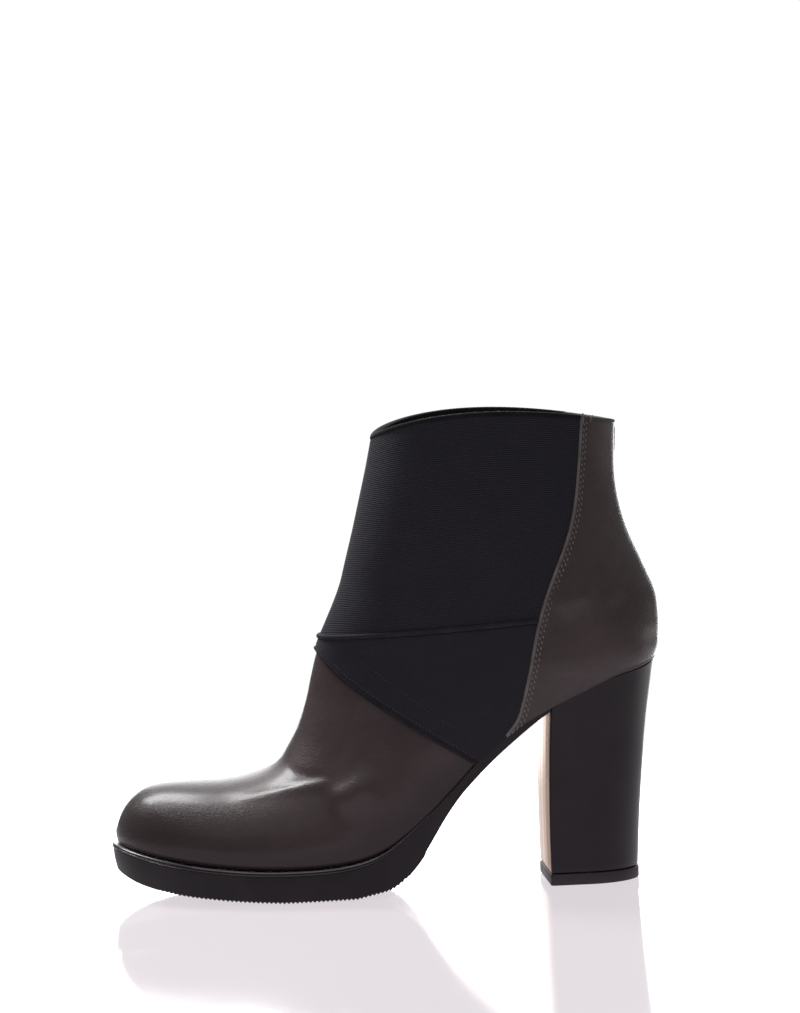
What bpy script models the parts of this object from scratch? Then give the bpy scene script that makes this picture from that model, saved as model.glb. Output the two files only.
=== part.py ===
"""Heeled ankle boot for a left foot, standing empty on its heel and forefoot.

The toe points to -X, the outer side of the foot faces -Y and +Z is up.
Sizes and tables are in millimetres, and meshes are written in metres.
"""

from collections import namedtuple

import bmesh
import bpy
import numpy as np

MM = 0.001

# Driving sizes
CLEARANCE = 0.3
WALL = 1.8
ELASTIC_THICKNESS = 0.9
COUNTER_THICKNESS = 1.2
INSOLE_THICKNESS = 2.2
INSOLE_INSET = 3.0
LIFT_THICKNESS = 5.0
LIFT_LEDGE = 0.3
TOE_OUTER_LENGTH = 80.0
TOE_INNER_LENGTH = 52.0
SHOULDER = 0.5
BOW_SKEW = 0.75
RIDGE_CLEARANCE = 0.5
FEATHER_CLEARANCE = 0.7
TRIM = 3.0
STATION_CLEARANCE = 2.0

# Mesh density
TOE_SECTIONS = 10
SECTION_STEP = 0.5
SHAFT_SECTIONS = 10
POINTS_PER_SIDE = 13
FINE_POINTS = 240
BEND_WEIGHT = 26.0
SEAM_POINTS = 14
SEAT_STATIONS = 5
HEEL_STATIONS = 13
WELD_DISTANCE = 0.03
SHARP_ANGLE = 35.0

# One row for each section of the last, from toe tip to collar. A section is a plane seen edge-on from
# the side: it runs from (top_x, top_z) on the front ridge to (low_x, low_z) on the feather line or,
# from heel_back on, on the back of the heel. outer and inner are half widths at the shoulder of the
# section, outer_low and inner_low the half widths at its lower end, ridge_y the side shift of the
# ridge, crown the share of the section that rounds over to the ridge, back the length that rounds to
# the back of the heel, and rise the upward bow of the section.
Section = namedtuple(
    "Section",
    "name top_x top_z low_x low_z outer inner outer_low inner_low ridge_y crown back rise",
)
SECTIONS = [
    Section("tip", -118.9, 28.6, -118.9, 23.9, 42.5, 42.0, 41.0, 41.0, 7.0, 0.90, 32, 0),
    Section("toe_front", -115.0, 38.2, -115.3, 23.0, 42.5, 42.0, 41.0, 41.0, 7.0, 0.90, 32, 0),
    Section("toe_box", -105.5, 46.8, -105.8, 20.5, 42.5, 42.0, 41.2, 41.0, 6.8, 0.88, 32, 0),
    Section("toe_crown", -91.0, 50.0, -91.0, 17.8, 43.0, 42.0, 41.5, 40.8, 6.2, 0.86, 32, 0),
    Section("toe_root", -75.0, 50.6, -75.0, 15.8, 43.0, 41.8, 41.5, 40.3, 5.4, 0.86, 32, 0),
    Section("vamp", -62.0, 52.1, -58.0, 14.5, 43.0, 41.3, 41.5, 39.6, 4.6, 0.85, 32, 0),
    Section("ball", -53.0, 54.5, -41.0, 14.2, 42.5, 40.3, 41.0, 38.2, 4.0, 0.83, 32, 0),
    Section("flex", -47.0, 57.9, -24.0, 15.0, 41.2, 38.8, 39.5, 35.8, 3.5, 0.80, 32, 0),
    Section("waist_low", -44.0, 62.2, -8.0, 18.8, 39.5, 36.8, 37.2, 33.0, 3.0, 0.76, 32, 0),
    Section("waist_mid", -41.3, 66.8, 6.0, 27.2, 37.8, 35.0, 34.6, 30.5, 2.5, 0.73, 32, 0),
    Section("waist_high", -38.9, 71.5, 20.0, 39.2, 36.4, 33.9, 32.2, 28.6, 2.0, 0.71, 32, 0),
    Section("arch_low", -37.0, 76.5, 34.0, 53.2, 35.3, 33.3, 30.2, 27.4, 1.5, 0.69, 32, 0),
    Section("arch_high", -35.4, 81.5, 50.0, 67.4, 34.5, 33.1, 28.8, 27.0, 1.1, 0.67, 32, 0),
    Section("seat_front", -34.0, 86.6, 67.0, 77.3, 34.0, 33.1, 28.1, 27.4, 0.7, 0.65, 32, 0),
    Section("seat_mid", -32.8, 91.8, 84.0, 85.1, 33.8, 33.2, 27.9, 27.8, 0.4, 0.63, 32, 0),
    Section("seat_back", -31.5, 97.0, 101.0, 91.4, 33.8, 33.4, 28.3, 28.3, 0.2, 0.61, 32, 0),
    Section("heel_back", -30.1, 102.1, 116.4, 96.0, 33.9, 33.6, 29.4, 29.4, 0.0, 0.59, 33, 0),
    Section("heel_bulge", -28.4, 107.1, 118.3, 107.5, 34.1, 33.9, 30.6, 30.6, 0.0, 0.57, 34, 0),
    Section("throat", -26.2, 112.2, 118.5, 119.2, 34.4, 34.3, 31.2, 31.2, 0.0, 0.56, 35, 0),
    Section("ankle_low", -18.9, 128.4, 116.7, 129.6, 35.0, 35.0, 31.8, 31.8, 0.0, 0.54, 37, 0),
    Section("ankle", -15.3, 140.0, 112.0, 139.6, 35.7, 35.7, 32.3, 32.3, 0.0, 0.52, 39, 0),
    Section("ankle_high", -11.6, 153.6, 106.0, 153.4, 36.0, 36.0, 32.8, 32.8, 0.0, 0.51, 41, 1.0),
    Section("shaft_low", -7.9, 168.2, 102.3, 169.5, 35.7, 35.7, 33.2, 33.2, 0.0, 0.50, 43, 3.0),
    Section("shaft_high", -4.5, 181.9, 101.6, 184.2, 35.3, 35.3, 33.6, 33.6, 0.0, 0.50, 45, 5.4),
    Section("collar", -1.3, 196.4, 102.3, 199.8, 35.0, 35.0, 34.0, 34.0, 0.0, 0.50, 46, 8.0),
]
ROW = {section.name: number for number, section in enumerate(SECTIONS)}
TOE_TIP_X = SECTIONS[ROW["tip"]].low_x
HEEL_BACK_X = SECTIONS[ROW["heel_back"]].low_x

# The sole along its length: height of the underside before the floor cuts it, how far the lip stands
# out from the upper, height of the lip, and how far the side wall slants in towards the ground.
SoleRow = namedtuple("SoleRow", "x underside ledge lip slant")
SOLE_ROWS = [
    SoleRow(-118.9, 12.0, 1.6, 1.7, 1.7),
    SoleRow(-112.0, 8.4, 1.7, 1.7, 1.7),
    SoleRow(-104.0, 6.0, 1.8, 1.7, 1.6),
    SoleRow(-95.0, 4.1, 2.0, 1.7, 1.6),
    SoleRow(-80.0, 2.2, 2.1, 1.7, 1.5),
    SoleRow(-65.0, 0.9, 2.2, 1.7, 1.4),
    SoleRow(-51.0, 0.1, 2.2, 1.7, 1.3),
    SoleRow(-36.0, -0.5, 2.2, 1.7, 1.2),
    SoleRow(-20.0, -0.3, 2.1, 1.7, 1.4),
    SoleRow(-10.0, 1.4, 1.8, 1.6, 1.8),
    SoleRow(0.0, 4.6, 1.2, 1.2, 2.4),
    SoleRow(6.0, 9.0, 0.8, 0.8, 3.0),
    SoleRow(13.0, 17.0, 0.6, 0.6, 3.4),
    SoleRow(21.0, 29.5, 0.6, 0.5, 3.2),
    SoleRow(31.0, 43.0, 0.6, 0.5, 2.8),
    SoleRow(43.0, 55.4, 0.6, 0.5, 2.2),
    SoleRow(56.0, 66.6, 0.7, 0.5, 1.2),
    SoleRow(67.0, 74.8, 0.8, 0.5, 0.5),
    SoleRow(84.0, 82.6, 0.8, 0.5, 0.4),
]
LIP_GROOVE = 0.9
SOLE_EDGE = 1.0

# The heel from its foot (level 0) to its slanted top (level 1): flat breast, rounded back, half width
# and the length over which the sides round to the back.
HeelRow = namedtuple("HeelRow", "level breast_x back_x half_width rounding")
HEEL_ROWS = [
    HeelRow(0.00, 67.5, 107.9, 23.0, 24.0),
    HeelRow(0.25, 67.4, 109.2, 23.6, 25.0),
    HeelRow(0.50, 67.6, 111.2, 24.8, 27.0),
    HeelRow(0.75, 68.1, 113.8, 26.5, 30.0),
    HeelRow(0.90, 68.6, 116.0, 28.0, 32.0),
    HeelRow(1.00, 69.0, 117.6, 28.9, 33.0),
]
HEEL_CORNER = 1.5

# Seams drawn in the side view
SeamPoint = namedtuple("SeamPoint", "x z")
COUNTER_EDGE = [
    SeamPoint(53.6, 70.4),
    SeamPoint(57.4, 85.0),
    SeamPoint(60.2, 98.0),
    SeamPoint(64.4, 116.6),
    SeamPoint(70.9, 135.2),
    SeamPoint(78.0, 153.5),
    SeamPoint(82.4, 174.0),
    SeamPoint(85.4, 203.5),
]
VAMP_EDGE = [
    SeamPoint(-30.8, 107.4),
    SeamPoint(-23.8, 96.7),
    SeamPoint(-5.1, 81.3),
    SeamPoint(34.5, 55.6),
]
BAND_EDGE = [
    SeamPoint(-28.4, 108.9),
    SeamPoint(63.5, 115.0),
]

# Reach of the cutters beyond the boot
PAST_THROAT = -45.0
PAST_HEEL = 140.0
PAST_COLLAR = 225.0
PAST_FLOOR = -20.0
PAST_WIDTH = 60.0

# Colour, as linear values, and roughness
FINISHES = {
    "leather": ((0.048, 0.037, 0.037), 0.38),
    "elastic": ((0.012, 0.012, 0.014), 0.85),
    "sole_rubber": ((0.016, 0.015, 0.017), 0.55),
    "heel_cover": ((0.020, 0.017, 0.019), 0.45),
    "lift_rubber": ((0.014, 0.013, 0.013), 0.65),
    "insole_lining": ((0.120, 0.095, 0.078), 0.80),
}


def cubic_spline(knots, values):
    """Natural cubic spline through the rows of values, returned as a function of the knot value."""
    knots = np.asarray(knots, float)
    values = np.asarray(values, float)
    step = np.diff(knots)
    slope = np.diff(values, axis=0) / step[:, None]
    system = np.eye(len(knots))
    bend = np.zeros_like(values)
    for row in range(1, len(knots) - 1):
        system[row, row - 1] = step[row - 1]
        system[row, row] = 2 * (step[row - 1] + step[row])
        system[row, row + 1] = step[row]
        bend[row] = 6 * (slope[row] - slope[row - 1])
    second = np.linalg.solve(system, bend)

    def evaluate(at):
        at = np.atleast_1d(np.asarray(at, float))
        piece = np.clip(np.searchsorted(knots, at, side="right") - 1, 0, len(step) - 1)
        width = step[piece][:, None]
        after = ((at - knots[piece])[:, None]) / width
        before = 1 - after
        curve = (before**3 - before) * second[piece] + (after**3 - after) * second[piece + 1]
        return before * values[piece] + after * values[piece + 1] + curve * width**2 / 6

    return evaluate


SECTION_CURVE = cubic_spline(range(len(SECTIONS)), [section[1:] for section in SECTIONS])
SOLE_CURVE = cubic_spline([row.x for row in SOLE_ROWS], [row[1:] for row in SOLE_ROWS])
HEEL_CURVE = cubic_spline([row.level for row in HEEL_ROWS], [row[1:] for row in HEEL_ROWS])


def section_at(place):
    """Sizes of the section at a place along the last, counted in table rows."""
    return Section("cut", *SECTION_CURVE(place)[0])


def round_over(share):
    """Quarter ellipse from 0 at share 0 to 1 at share 1, level after that."""
    return np.sqrt(1 - (1 - np.clip(share, 0, 1)) ** 2)


def side_view_line(cut, along):
    """Points of a section in the side view, from the ridge (along 0) to its lower end (along 1)."""
    run = np.array([cut.low_x - cut.top_x, cut.low_z - cut.top_z])
    upward = np.array([-run[1], run[0]]) / np.hypot(*run)
    skewed = along**BOW_SKEW
    bow = (cut.rise * 4 * skewed * (1 - skewed))[:, None]
    return np.array([cut.top_x, cut.top_z]) + along[:, None] * run + bow * upward


def last_surface(place, along, side):
    """Points of the upper's outer surface on one section; side is -1 for outer and 1 for inner."""
    cut = section_at(place)
    line = side_view_line(cut, along)
    shoulder, low = (cut.outer, cut.outer_low) if side < 0 else (cut.inner, cut.inner_low)
    tuck = np.maximum((along - SHOULDER) / (1 - SHOULDER), 0) ** 2
    edge = side * (shoulder + (low - shoulder) * tuck)
    toe_length = TOE_OUTER_LENGTH if side < 0 else TOE_INNER_LENGTH
    toe = round_over((line[:, 0] - TOE_TIP_X) / toe_length)
    back_x = cut.low_x if place >= ROW["heel_back"] else HEEL_BACK_X
    heel = round_over((back_x - line[:, 0]) / cut.back)
    y = (cut.ridge_y + (edge - cut.ridge_y) * round_over(along / cut.crown) * toe) * heel
    return np.column_stack([line[:, 0], y, line[:, 1]])


def evenly(place, start, end, side, count):
    """Points of one section between two shares of its length, closer together where it bends."""
    fine = start + (end - start) * (1 - np.cos(np.linspace(0, np.pi, FINE_POINTS))) / 2
    points = last_surface(place, fine, side)
    run = np.diff(points, axis=0)
    length = np.linalg.norm(run, axis=1)
    heading = run / np.maximum(length, 1e-9)[:, None]
    bend = np.linalg.norm(np.diff(heading, axis=0, prepend=heading[:1]), axis=1)
    travel = np.concatenate([[0], np.cumsum(length + BEND_WEIGHT * bend)])
    share = np.interp(np.linspace(0, travel[-1], count), travel, fine)
    share[0] = start
    share[-1] = end
    return last_surface(place, share, side)


def end_share(place):
    """Share at which a section is ended: a little past the feather line, and at the heel at the back."""
    cut = section_at(place)
    spare = 1 + TRIM / np.hypot(cut.low_x - cut.top_x, cut.low_z - cut.top_z)
    if place >= ROW["heel_back"]:
        return 1.0
    if place <= ROW["waist_high"]:
        return spare
    grow = min((place - ROW["waist_high"]) / (ROW["seat_front"] - ROW["waist_high"]), 1) ** 2
    to_back = (HEEL_BACK_X - cut.top_x) / (cut.low_x - cut.top_x)
    return spare + grow * (to_back - spare)


def last_places(first, final):
    """Places of the sections that are meshed, closer together where the form turns quickly."""
    toe = np.linspace(ROW["tip"], ROW["toe_root"], TOE_SECTIONS)
    body = np.arange(ROW["toe_root"], ROW["throat"], SECTION_STEP) + SECTION_STEP
    shaft = np.linspace(ROW["throat"], ROW["collar"], SHAFT_SECTIONS + 1)
    places = np.concatenate([toe, body, shaft[1:]])
    return places[(places >= first) & (places <= final)]


def grid_mesh(name, rows):
    """Open surface of triangles through rows of points, each cell split along its shorter diagonal."""
    count = len(rows[0])
    points = np.concatenate(rows)
    faces = []
    for row in range(len(rows) - 1):
        for column in range(count - 1):
            near = row * count + column
            far = near + count
            rising = np.linalg.norm(points[near] - points[far + 1])
            falling = np.linalg.norm(points[near + 1] - points[far])
            if rising < falling:
                faces += [(near, far, far + 1), (near, far + 1, near + 1)]
            else:
                faces += [(near, far, near + 1), (near + 1, far, far + 1)]
    mesh = bpy.data.meshes.new(name)
    mesh.from_pydata((points * MM).tolist(), [], faces)
    weld(mesh)
    return mesh


def weld(mesh):
    """Merge points that coincide, drop faces that vanish and shade the mesh smooth."""
    work = bmesh.new()
    work.from_mesh(mesh)
    bmesh.ops.remove_doubles(work, verts=work.verts, dist=WELD_DISTANCE * MM)
    bmesh.ops.dissolve_degenerate(work, edges=work.edges, dist=WELD_DISTANCE * MM / 30)
    work.to_mesh(mesh)
    work.free()
    mesh.shade_smooth()


def stacked_mesh(name, levels):
    """Closed solid from paired edges: each level is an outer and an inner edge of equal point counts."""
    count = len(levels[0][0])
    rings = [np.concatenate([outer, inner[::-1]]) for outer, inner in levels]
    size = 2 * count
    faces = []
    for level in range(len(rings) - 1):
        for corner in range(size):
            after = (corner + 1) % size
            low = level * size
            high = low + size
            faces.append((low + corner, low + after, high + after, high + corner))
    top = (len(rings) - 1) * size
    for station in range(count - 1):
        partner = size - 1 - station
        faces.append((station, partner, partner - 1, station + 1))
        faces.append((top + station, top + station + 1, top + partner - 1, top + partner))
    mesh = bpy.data.meshes.new(name)
    mesh.from_pydata((np.concatenate(rings) * MM).tolist(), [], faces)
    weld(mesh)
    work = bmesh.new()
    work.from_mesh(mesh)
    bmesh.ops.recalc_face_normals(work, faces=work.faces)
    work.to_mesh(mesh)
    work.free()
    mesh.set_sharp_from_angle(angle=np.radians(SHARP_ANGLE))
    return mesh


def make_material(name):
    colour, roughness = FINISHES[name]
    material = bpy.data.materials.new(name)
    material.use_nodes = True
    shader = material.node_tree.nodes["Principled BSDF"]
    shader.inputs["Base Color"].default_value = (*colour, 1.0)
    shader.inputs["Roughness"].default_value = roughness
    shader.inputs["Metallic"].default_value = 0.0
    material.diffuse_color = (*colour, 1.0)
    return material


def add_object(name, mesh, material, collection):
    piece = bpy.data.objects.new(name, mesh)
    mesh.materials.append(material)
    collection.objects.link(piece)
    return piece


def thicken(piece, thickness, outward):
    """Give an open surface its thickness to one side."""
    shell = piece.modifiers.new("thickness", "SOLIDIFY")
    shell.thickness = thickness * MM
    shell.offset = 1 if outward else -1
    shell.use_quality_normals = True


def lift_off(piece, distance):
    """Move a surface out along its own normals."""
    offset = piece.modifiers.new("clearance", "DISPLACE")
    offset.direction = "NORMAL"
    offset.mid_level = 0
    offset.strength = distance * MM


def feather_edge():
    """Lower edge of the upper from toe tip to heel back, as an outer and an inner edge."""
    before_heel = last_places(ROW["tip"], ROW["seat_back"])
    round_heel = ROW["heel_back"] - np.linspace(0.8, 0, SEAT_STATIONS) ** 2
    low_end = np.array([1.0])
    places = np.concatenate([before_heel, round_heel])
    outer = np.array([last_surface(place, low_end, -1)[0] for place in places])
    inner = np.array([last_surface(place, low_end, 1)[0] for place in places])
    return outer, inner


def plan_normals(outer, inner):
    """Outward directions of a paired outline in plan, at its outer and at its inner edge."""
    loop = np.concatenate([outer[:-1], inner[::-1][:-1]])[:, :2]
    run = np.roll(loop, -1, axis=0) - np.roll(loop, 1, axis=0)
    normal = np.column_stack([run[:, 1], -run[:, 0]])
    normal /= np.linalg.norm(normal, axis=1)[:, None]
    if normal[0, 0] > 0:
        normal = -normal
    count = len(outer)
    outer_normal = normal[:count]
    inner_normal = np.concatenate([normal[:1], normal[count - 1 :][::-1]])
    return outer_normal, inner_normal


def offset_level(outer, inner, distance, height):
    """The outline moved outwards in plan by a distance for each station, at a height for each."""
    level = []
    for edge, normal in zip((outer, inner), plan_normals(outer, inner)):
        moved = edge.copy()
        moved[:, :2] += normal * np.broadcast_to(distance, len(edge))[:, None]
        moved[:, 2] = height
        level.append(moved)
    return tuple(level)


def ended_at(level, x):
    """A paired outline cut off square at an x."""
    count = np.count_nonzero(level[0][:, 0] < x - STATION_CLEARANCE)
    ended = []
    for edge in level:
        end = [np.interp(x, edge[:, 0], values) for values in edge.T]
        ended.append(np.vstack([edge[:count], end]))
    return tuple(ended)


def upper_mesh(name, first):
    """Outer surface of the upper from a section on, open at the collar and underneath."""
    rows = []
    for place in last_places(first, ROW["collar"]):
        end = end_share(place)
        outer = evenly(place, end, 0, -1, POINTS_PER_SIDE)
        inner = evenly(place, 0, end, 1, POINTS_PER_SIDE)
        rows.append(np.concatenate([outer, inner[1:]]))
    return grid_mesh(name, rows)


def build_upper(collection, cutters, material):
    """One hollow shell, cut off below along the feather line."""
    upper = add_object("upper", upper_mesh("upper", ROW["tip"]), material, collection)
    thicken(upper, WALL, outward=False)
    outer, _ = feather_edge()
    feather = [(-PAST_HEEL, outer[0][2]), *outer[:, [0, 2]], (PAST_HEEL, outer[-1][2])]
    outline = [*feather, (PAST_HEEL, PAST_FLOOR), (-PAST_HEEL, PAST_FLOOR)]
    cutter = add_prism("below_feather", outline, (-PAST_WIDTH, PAST_WIDTH), cutters)
    # The exact solver leaves faces that nearly coincide where the shell closes at the heel
    trim_by(upper, cutter, "DIFFERENCE", "MANIFOLD")


def add_prism(name, outline, reach, collection):
    """Cutter that carries a side-view outline across the boot, from one y to another."""
    near, far = reach
    work = bmesh.new()
    corners = [work.verts.new((x * MM, near * MM, z * MM)) for x, z in outline]
    swept = bmesh.ops.extrude_face_region(work, geom=[work.faces.new(corners)])
    moved = [item for item in swept["geom"] if isinstance(item, bmesh.types.BMVert)]
    bmesh.ops.translate(work, verts=moved, vec=(0, (far - near) * MM, 0))
    bmesh.ops.recalc_face_normals(work, faces=work.faces)
    mesh = bpy.data.meshes.new(name)
    work.to_mesh(mesh)
    work.free()
    cutter = bpy.data.objects.new(name, mesh)
    cutter.hide_render = True
    cutter.display_type = "WIRE"
    collection.objects.link(cutter)
    return cutter


def trim_by(piece, cutter, operation, solver):
    trim = piece.modifiers.new("trim", "BOOLEAN")
    trim.operation = operation
    trim.solver = solver
    trim.object = cutter


def build_panel(name, outline, reach, thickness, material, collection, cutters):
    """A panel over the upper: a second skin of the same form, cut out along its side-view seams."""
    panel = add_object(name, upper_mesh(name, ROW["waist_mid"]), material, collection)
    lift_off(panel, CLEARANCE)
    thicken(panel, thickness, outward=True)
    trim_by(panel, add_prism(name + "_outline", outline, reach, cutters), "INTERSECT", "EXACT")


def seam_line(seam, shift):
    """A seam of the side view as a smooth line of points, moved along X by a shift."""
    knots = np.arange(len(seam))
    line = cubic_spline(knots, [(point.x + shift, point.z) for point in seam])
    return line(np.linspace(0, knots[-1], SEAM_POINTS))


def above_feather(low_x, high_x):
    """Lower ends of panels: the feather line between two x, lifted off the sole."""
    outer, _ = feather_edge()
    x = np.linspace(low_x, high_x, SEAM_POINTS)
    return np.column_stack([x, np.interp(x, outer[:, 0], outer[:, 2]) + FEATHER_CLEARANCE])


def band_line(x, shift):
    """Height of the band's straight lower edge at an x, moved up by a shift."""
    front, back = BAND_EDGE
    slope = (back.z - front.z) / (back.x - front.x)
    return front.z + slope * (x - front.x) + shift


def build_panels(collection, cutters, leather, elastic):
    """Counter round the heel, band round the front of the ankle and a gusset on each side."""
    half_gap = CLEARANCE / 2
    front = COUNTER_EDGE[0].x
    counter_edge = seam_line(COUNTER_EDGE, half_gap)
    elastic_edge = seam_line(COUNTER_EDGE, -half_gap)
    vamp_edge = seam_line(VAMP_EDGE, 0)
    whole = (-PAST_WIDTH, PAST_WIDTH)

    feather = above_feather(front + half_gap, HEEL_BACK_X)
    past_back = [(PAST_HEEL, feather[-1][1]), (PAST_HEEL, PAST_COLLAR), (counter_edge[-1][0], PAST_COLLAR)]
    outline = [*feather, *past_back, *counter_edge[:0:-1]]
    build_panel("counter", outline, whole, COUNTER_THICKNESS, leather, collection, cutters)

    above = [point for point in elastic_edge if point[1] > band_line(point[0], half_gap)]
    corner_x = np.interp(0, elastic_edge[:, 1] - band_line(elastic_edge[:, 0], half_gap), elastic_edge[:, 0])
    corner = (corner_x, band_line(corner_x, half_gap))
    outline = [(PAST_THROAT, band_line(PAST_THROAT, half_gap)), corner, *above]
    outline += [(above[-1][0], PAST_COLLAR), (PAST_THROAT, PAST_COLLAR)]
    build_panel("elastic_band", outline, whole, ELASTIC_THICKNESS, elastic, collection, cutters)

    below = [point for point in elastic_edge if point[1] < band_line(point[0], -half_gap)]
    corner_x = np.interp(0, elastic_edge[:, 1] - band_line(elastic_edge[:, 0], -half_gap), elastic_edge[:, 0])
    corner = (corner_x, band_line(corner_x, -half_gap))
    feather = above_feather(VAMP_EDGE[-1].x, front - half_gap)
    outline = [*vamp_edge, *feather[1:-1], *below, corner]
    outline += [(PAST_THROAT, band_line(PAST_THROAT, -half_gap))]
    outer_reach = (-PAST_WIDTH, -RIDGE_CLEARANCE)
    inner_reach = (RIDGE_CLEARANCE, PAST_WIDTH)
    for name, reach in (("gusset_lateral", outer_reach), ("gusset_medial", inner_reach)):
        build_panel(name, outline, reach, ELASTIC_THICKNESS, elastic, collection, cutters)


def build_sole(collection, material):
    """Platform and waist under the feather edge as far as the heel, with a lip round the forefoot."""
    outer, inner = feather_edge()
    underside, ledge, lip, slant = SOLE_CURVE(outer[:, 0]).T
    underside = np.maximum(underside, 0)
    top = outer[:, 2] - CLEARANCE
    groove = np.minimum(LIP_GROOVE, lip / 2)
    levels = [
        offset_level(outer, inner, ledge - slant - SOLE_EDGE, underside),
        offset_level(outer, inner, ledge - slant, underside + np.minimum(SOLE_EDGE, lip)),
        offset_level(outer, inner, ledge - groove, top - lip - groove / 2),
        offset_level(outer, inner, ledge, top - lip),
        offset_level(outer, inner, ledge, top),
    ]
    end_x = HEEL_ROWS[-1].breast_x - CLEARANCE
    levels = [ended_at(level, end_x) for level in levels]
    add_object("sole", stacked_mesh("sole", levels), material, collection)


def build_insole(collection, material):
    outer, inner = feather_edge()
    floor = outer[:, 2]
    levels = [
        offset_level(outer, inner, -INSOLE_INSET, floor),
        offset_level(outer, inner, -INSOLE_INSET, floor + INSOLE_THICKNESS),
    ]
    add_object("insole", stacked_mesh("insole", levels), material, collection)


def heel_outline(level, ledge):
    """Paired edges of the heel in plan at a level: flat breast, straight sides and a rounded back."""
    breast, back, half_width, rounding = HEEL_CURVE(level)[0]
    share = 1 - (1 - np.linspace(0, 1, HEEL_STATIONS)) ** 2
    x = breast + HEEL_CORNER + (back - breast - HEEL_CORNER) * share
    x = np.concatenate([[breast], x])
    half = half_width * round_over((back - x) / rounding)
    half[0] -= HEEL_CORNER
    half = half + ledge * (half > 0)
    x = x + ledge * np.linspace(-1, 1, len(x))
    outer = np.column_stack([x, -half, np.zeros_like(x)])
    inner = np.column_stack([x, half, np.zeros_like(x)])
    return outer, inner


def build_heel(collection, material):
    """Block from the lift up to the upper's lower edge."""
    feather, _ = feather_edge()
    foot = LIFT_THICKNESS + CLEARANCE
    levels = []
    for row in HEEL_ROWS:
        outer, inner = heel_outline(row.level, 0)
        top = np.interp(outer[:, 0], feather[:, 0], feather[:, 2]) - CLEARANCE
        height = foot + row.level * (top - foot)
        outer[:, 2] = height
        inner[:, 2] = height
        levels.append((outer, inner))
    add_object("heel_block", stacked_mesh("heel_block", levels), material, collection)


def build_lift(collection, material):
    levels = []
    for height in (0, LIFT_THICKNESS):
        outer, inner = heel_outline(0, LIFT_LEDGE)
        outer[:, 2] = height
        inner[:, 2] = height
        levels.append((outer, inner))
    add_object("top_lift", stacked_mesh("top_lift", levels), material, collection)


def main():
    for old in list(bpy.data.objects):
        bpy.data.objects.remove(old, do_unlink=True)
    boot = bpy.data.collections.new("heeled_ankle_boot")
    bpy.context.scene.collection.children.link(boot)
    cutters = bpy.data.collections.new("cutters")
    bpy.context.scene.collection.children.link(cutters)
    finish = {name: make_material(name) for name in FINISHES}
    build_upper(boot, cutters, finish["leather"])
    build_sole(boot, finish["sole_rubber"])
    build_insole(boot, finish["insole_lining"])
    build_panels(boot, cutters, finish["leather"], finish["elastic"])
    build_heel(boot, finish["heel_cover"])
    build_lift(boot, finish["lift_rubber"])


if __name__ == "__main__":
    main()
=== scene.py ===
"""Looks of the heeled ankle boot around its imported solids, laid out as an add-on and run as a script.

The toe points to -X, the outer side of the foot faces -Y and +Z is up. Tables and shapes are in
millimetres, and meshes are written in metres.
"""

from collections import namedtuple

import bpy
import numpy as np
from bpy.props import FloatProperty, FloatVectorProperty, PointerProperty
from mathutils import Matrix


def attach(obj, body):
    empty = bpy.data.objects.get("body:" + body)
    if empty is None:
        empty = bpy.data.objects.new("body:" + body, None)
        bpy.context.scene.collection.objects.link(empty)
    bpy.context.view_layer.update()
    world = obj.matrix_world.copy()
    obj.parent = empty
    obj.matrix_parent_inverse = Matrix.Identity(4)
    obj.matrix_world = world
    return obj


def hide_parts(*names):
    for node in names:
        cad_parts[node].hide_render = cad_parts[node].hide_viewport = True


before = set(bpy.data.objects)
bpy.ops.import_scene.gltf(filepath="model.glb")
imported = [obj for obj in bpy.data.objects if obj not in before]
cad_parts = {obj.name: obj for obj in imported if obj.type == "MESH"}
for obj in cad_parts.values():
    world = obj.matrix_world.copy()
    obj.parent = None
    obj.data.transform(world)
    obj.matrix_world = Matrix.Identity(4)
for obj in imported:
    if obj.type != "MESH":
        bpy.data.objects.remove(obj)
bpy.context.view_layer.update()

bl_info = {
    "name": "Heeled ankle boot",
    "version": (1, 0, 0),
    "blender": (4, 5, 0),
    "location": "View3D > Sidebar > Boot",
    "description": "Dresses the heeled ankle boot and sets it on a studio floor",
    "category": "Object",
}

MM = 0.001
SIDES = (-1, 1)
SIDE_NAMES = {-1: "lateral", 1: "medial"}

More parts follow.
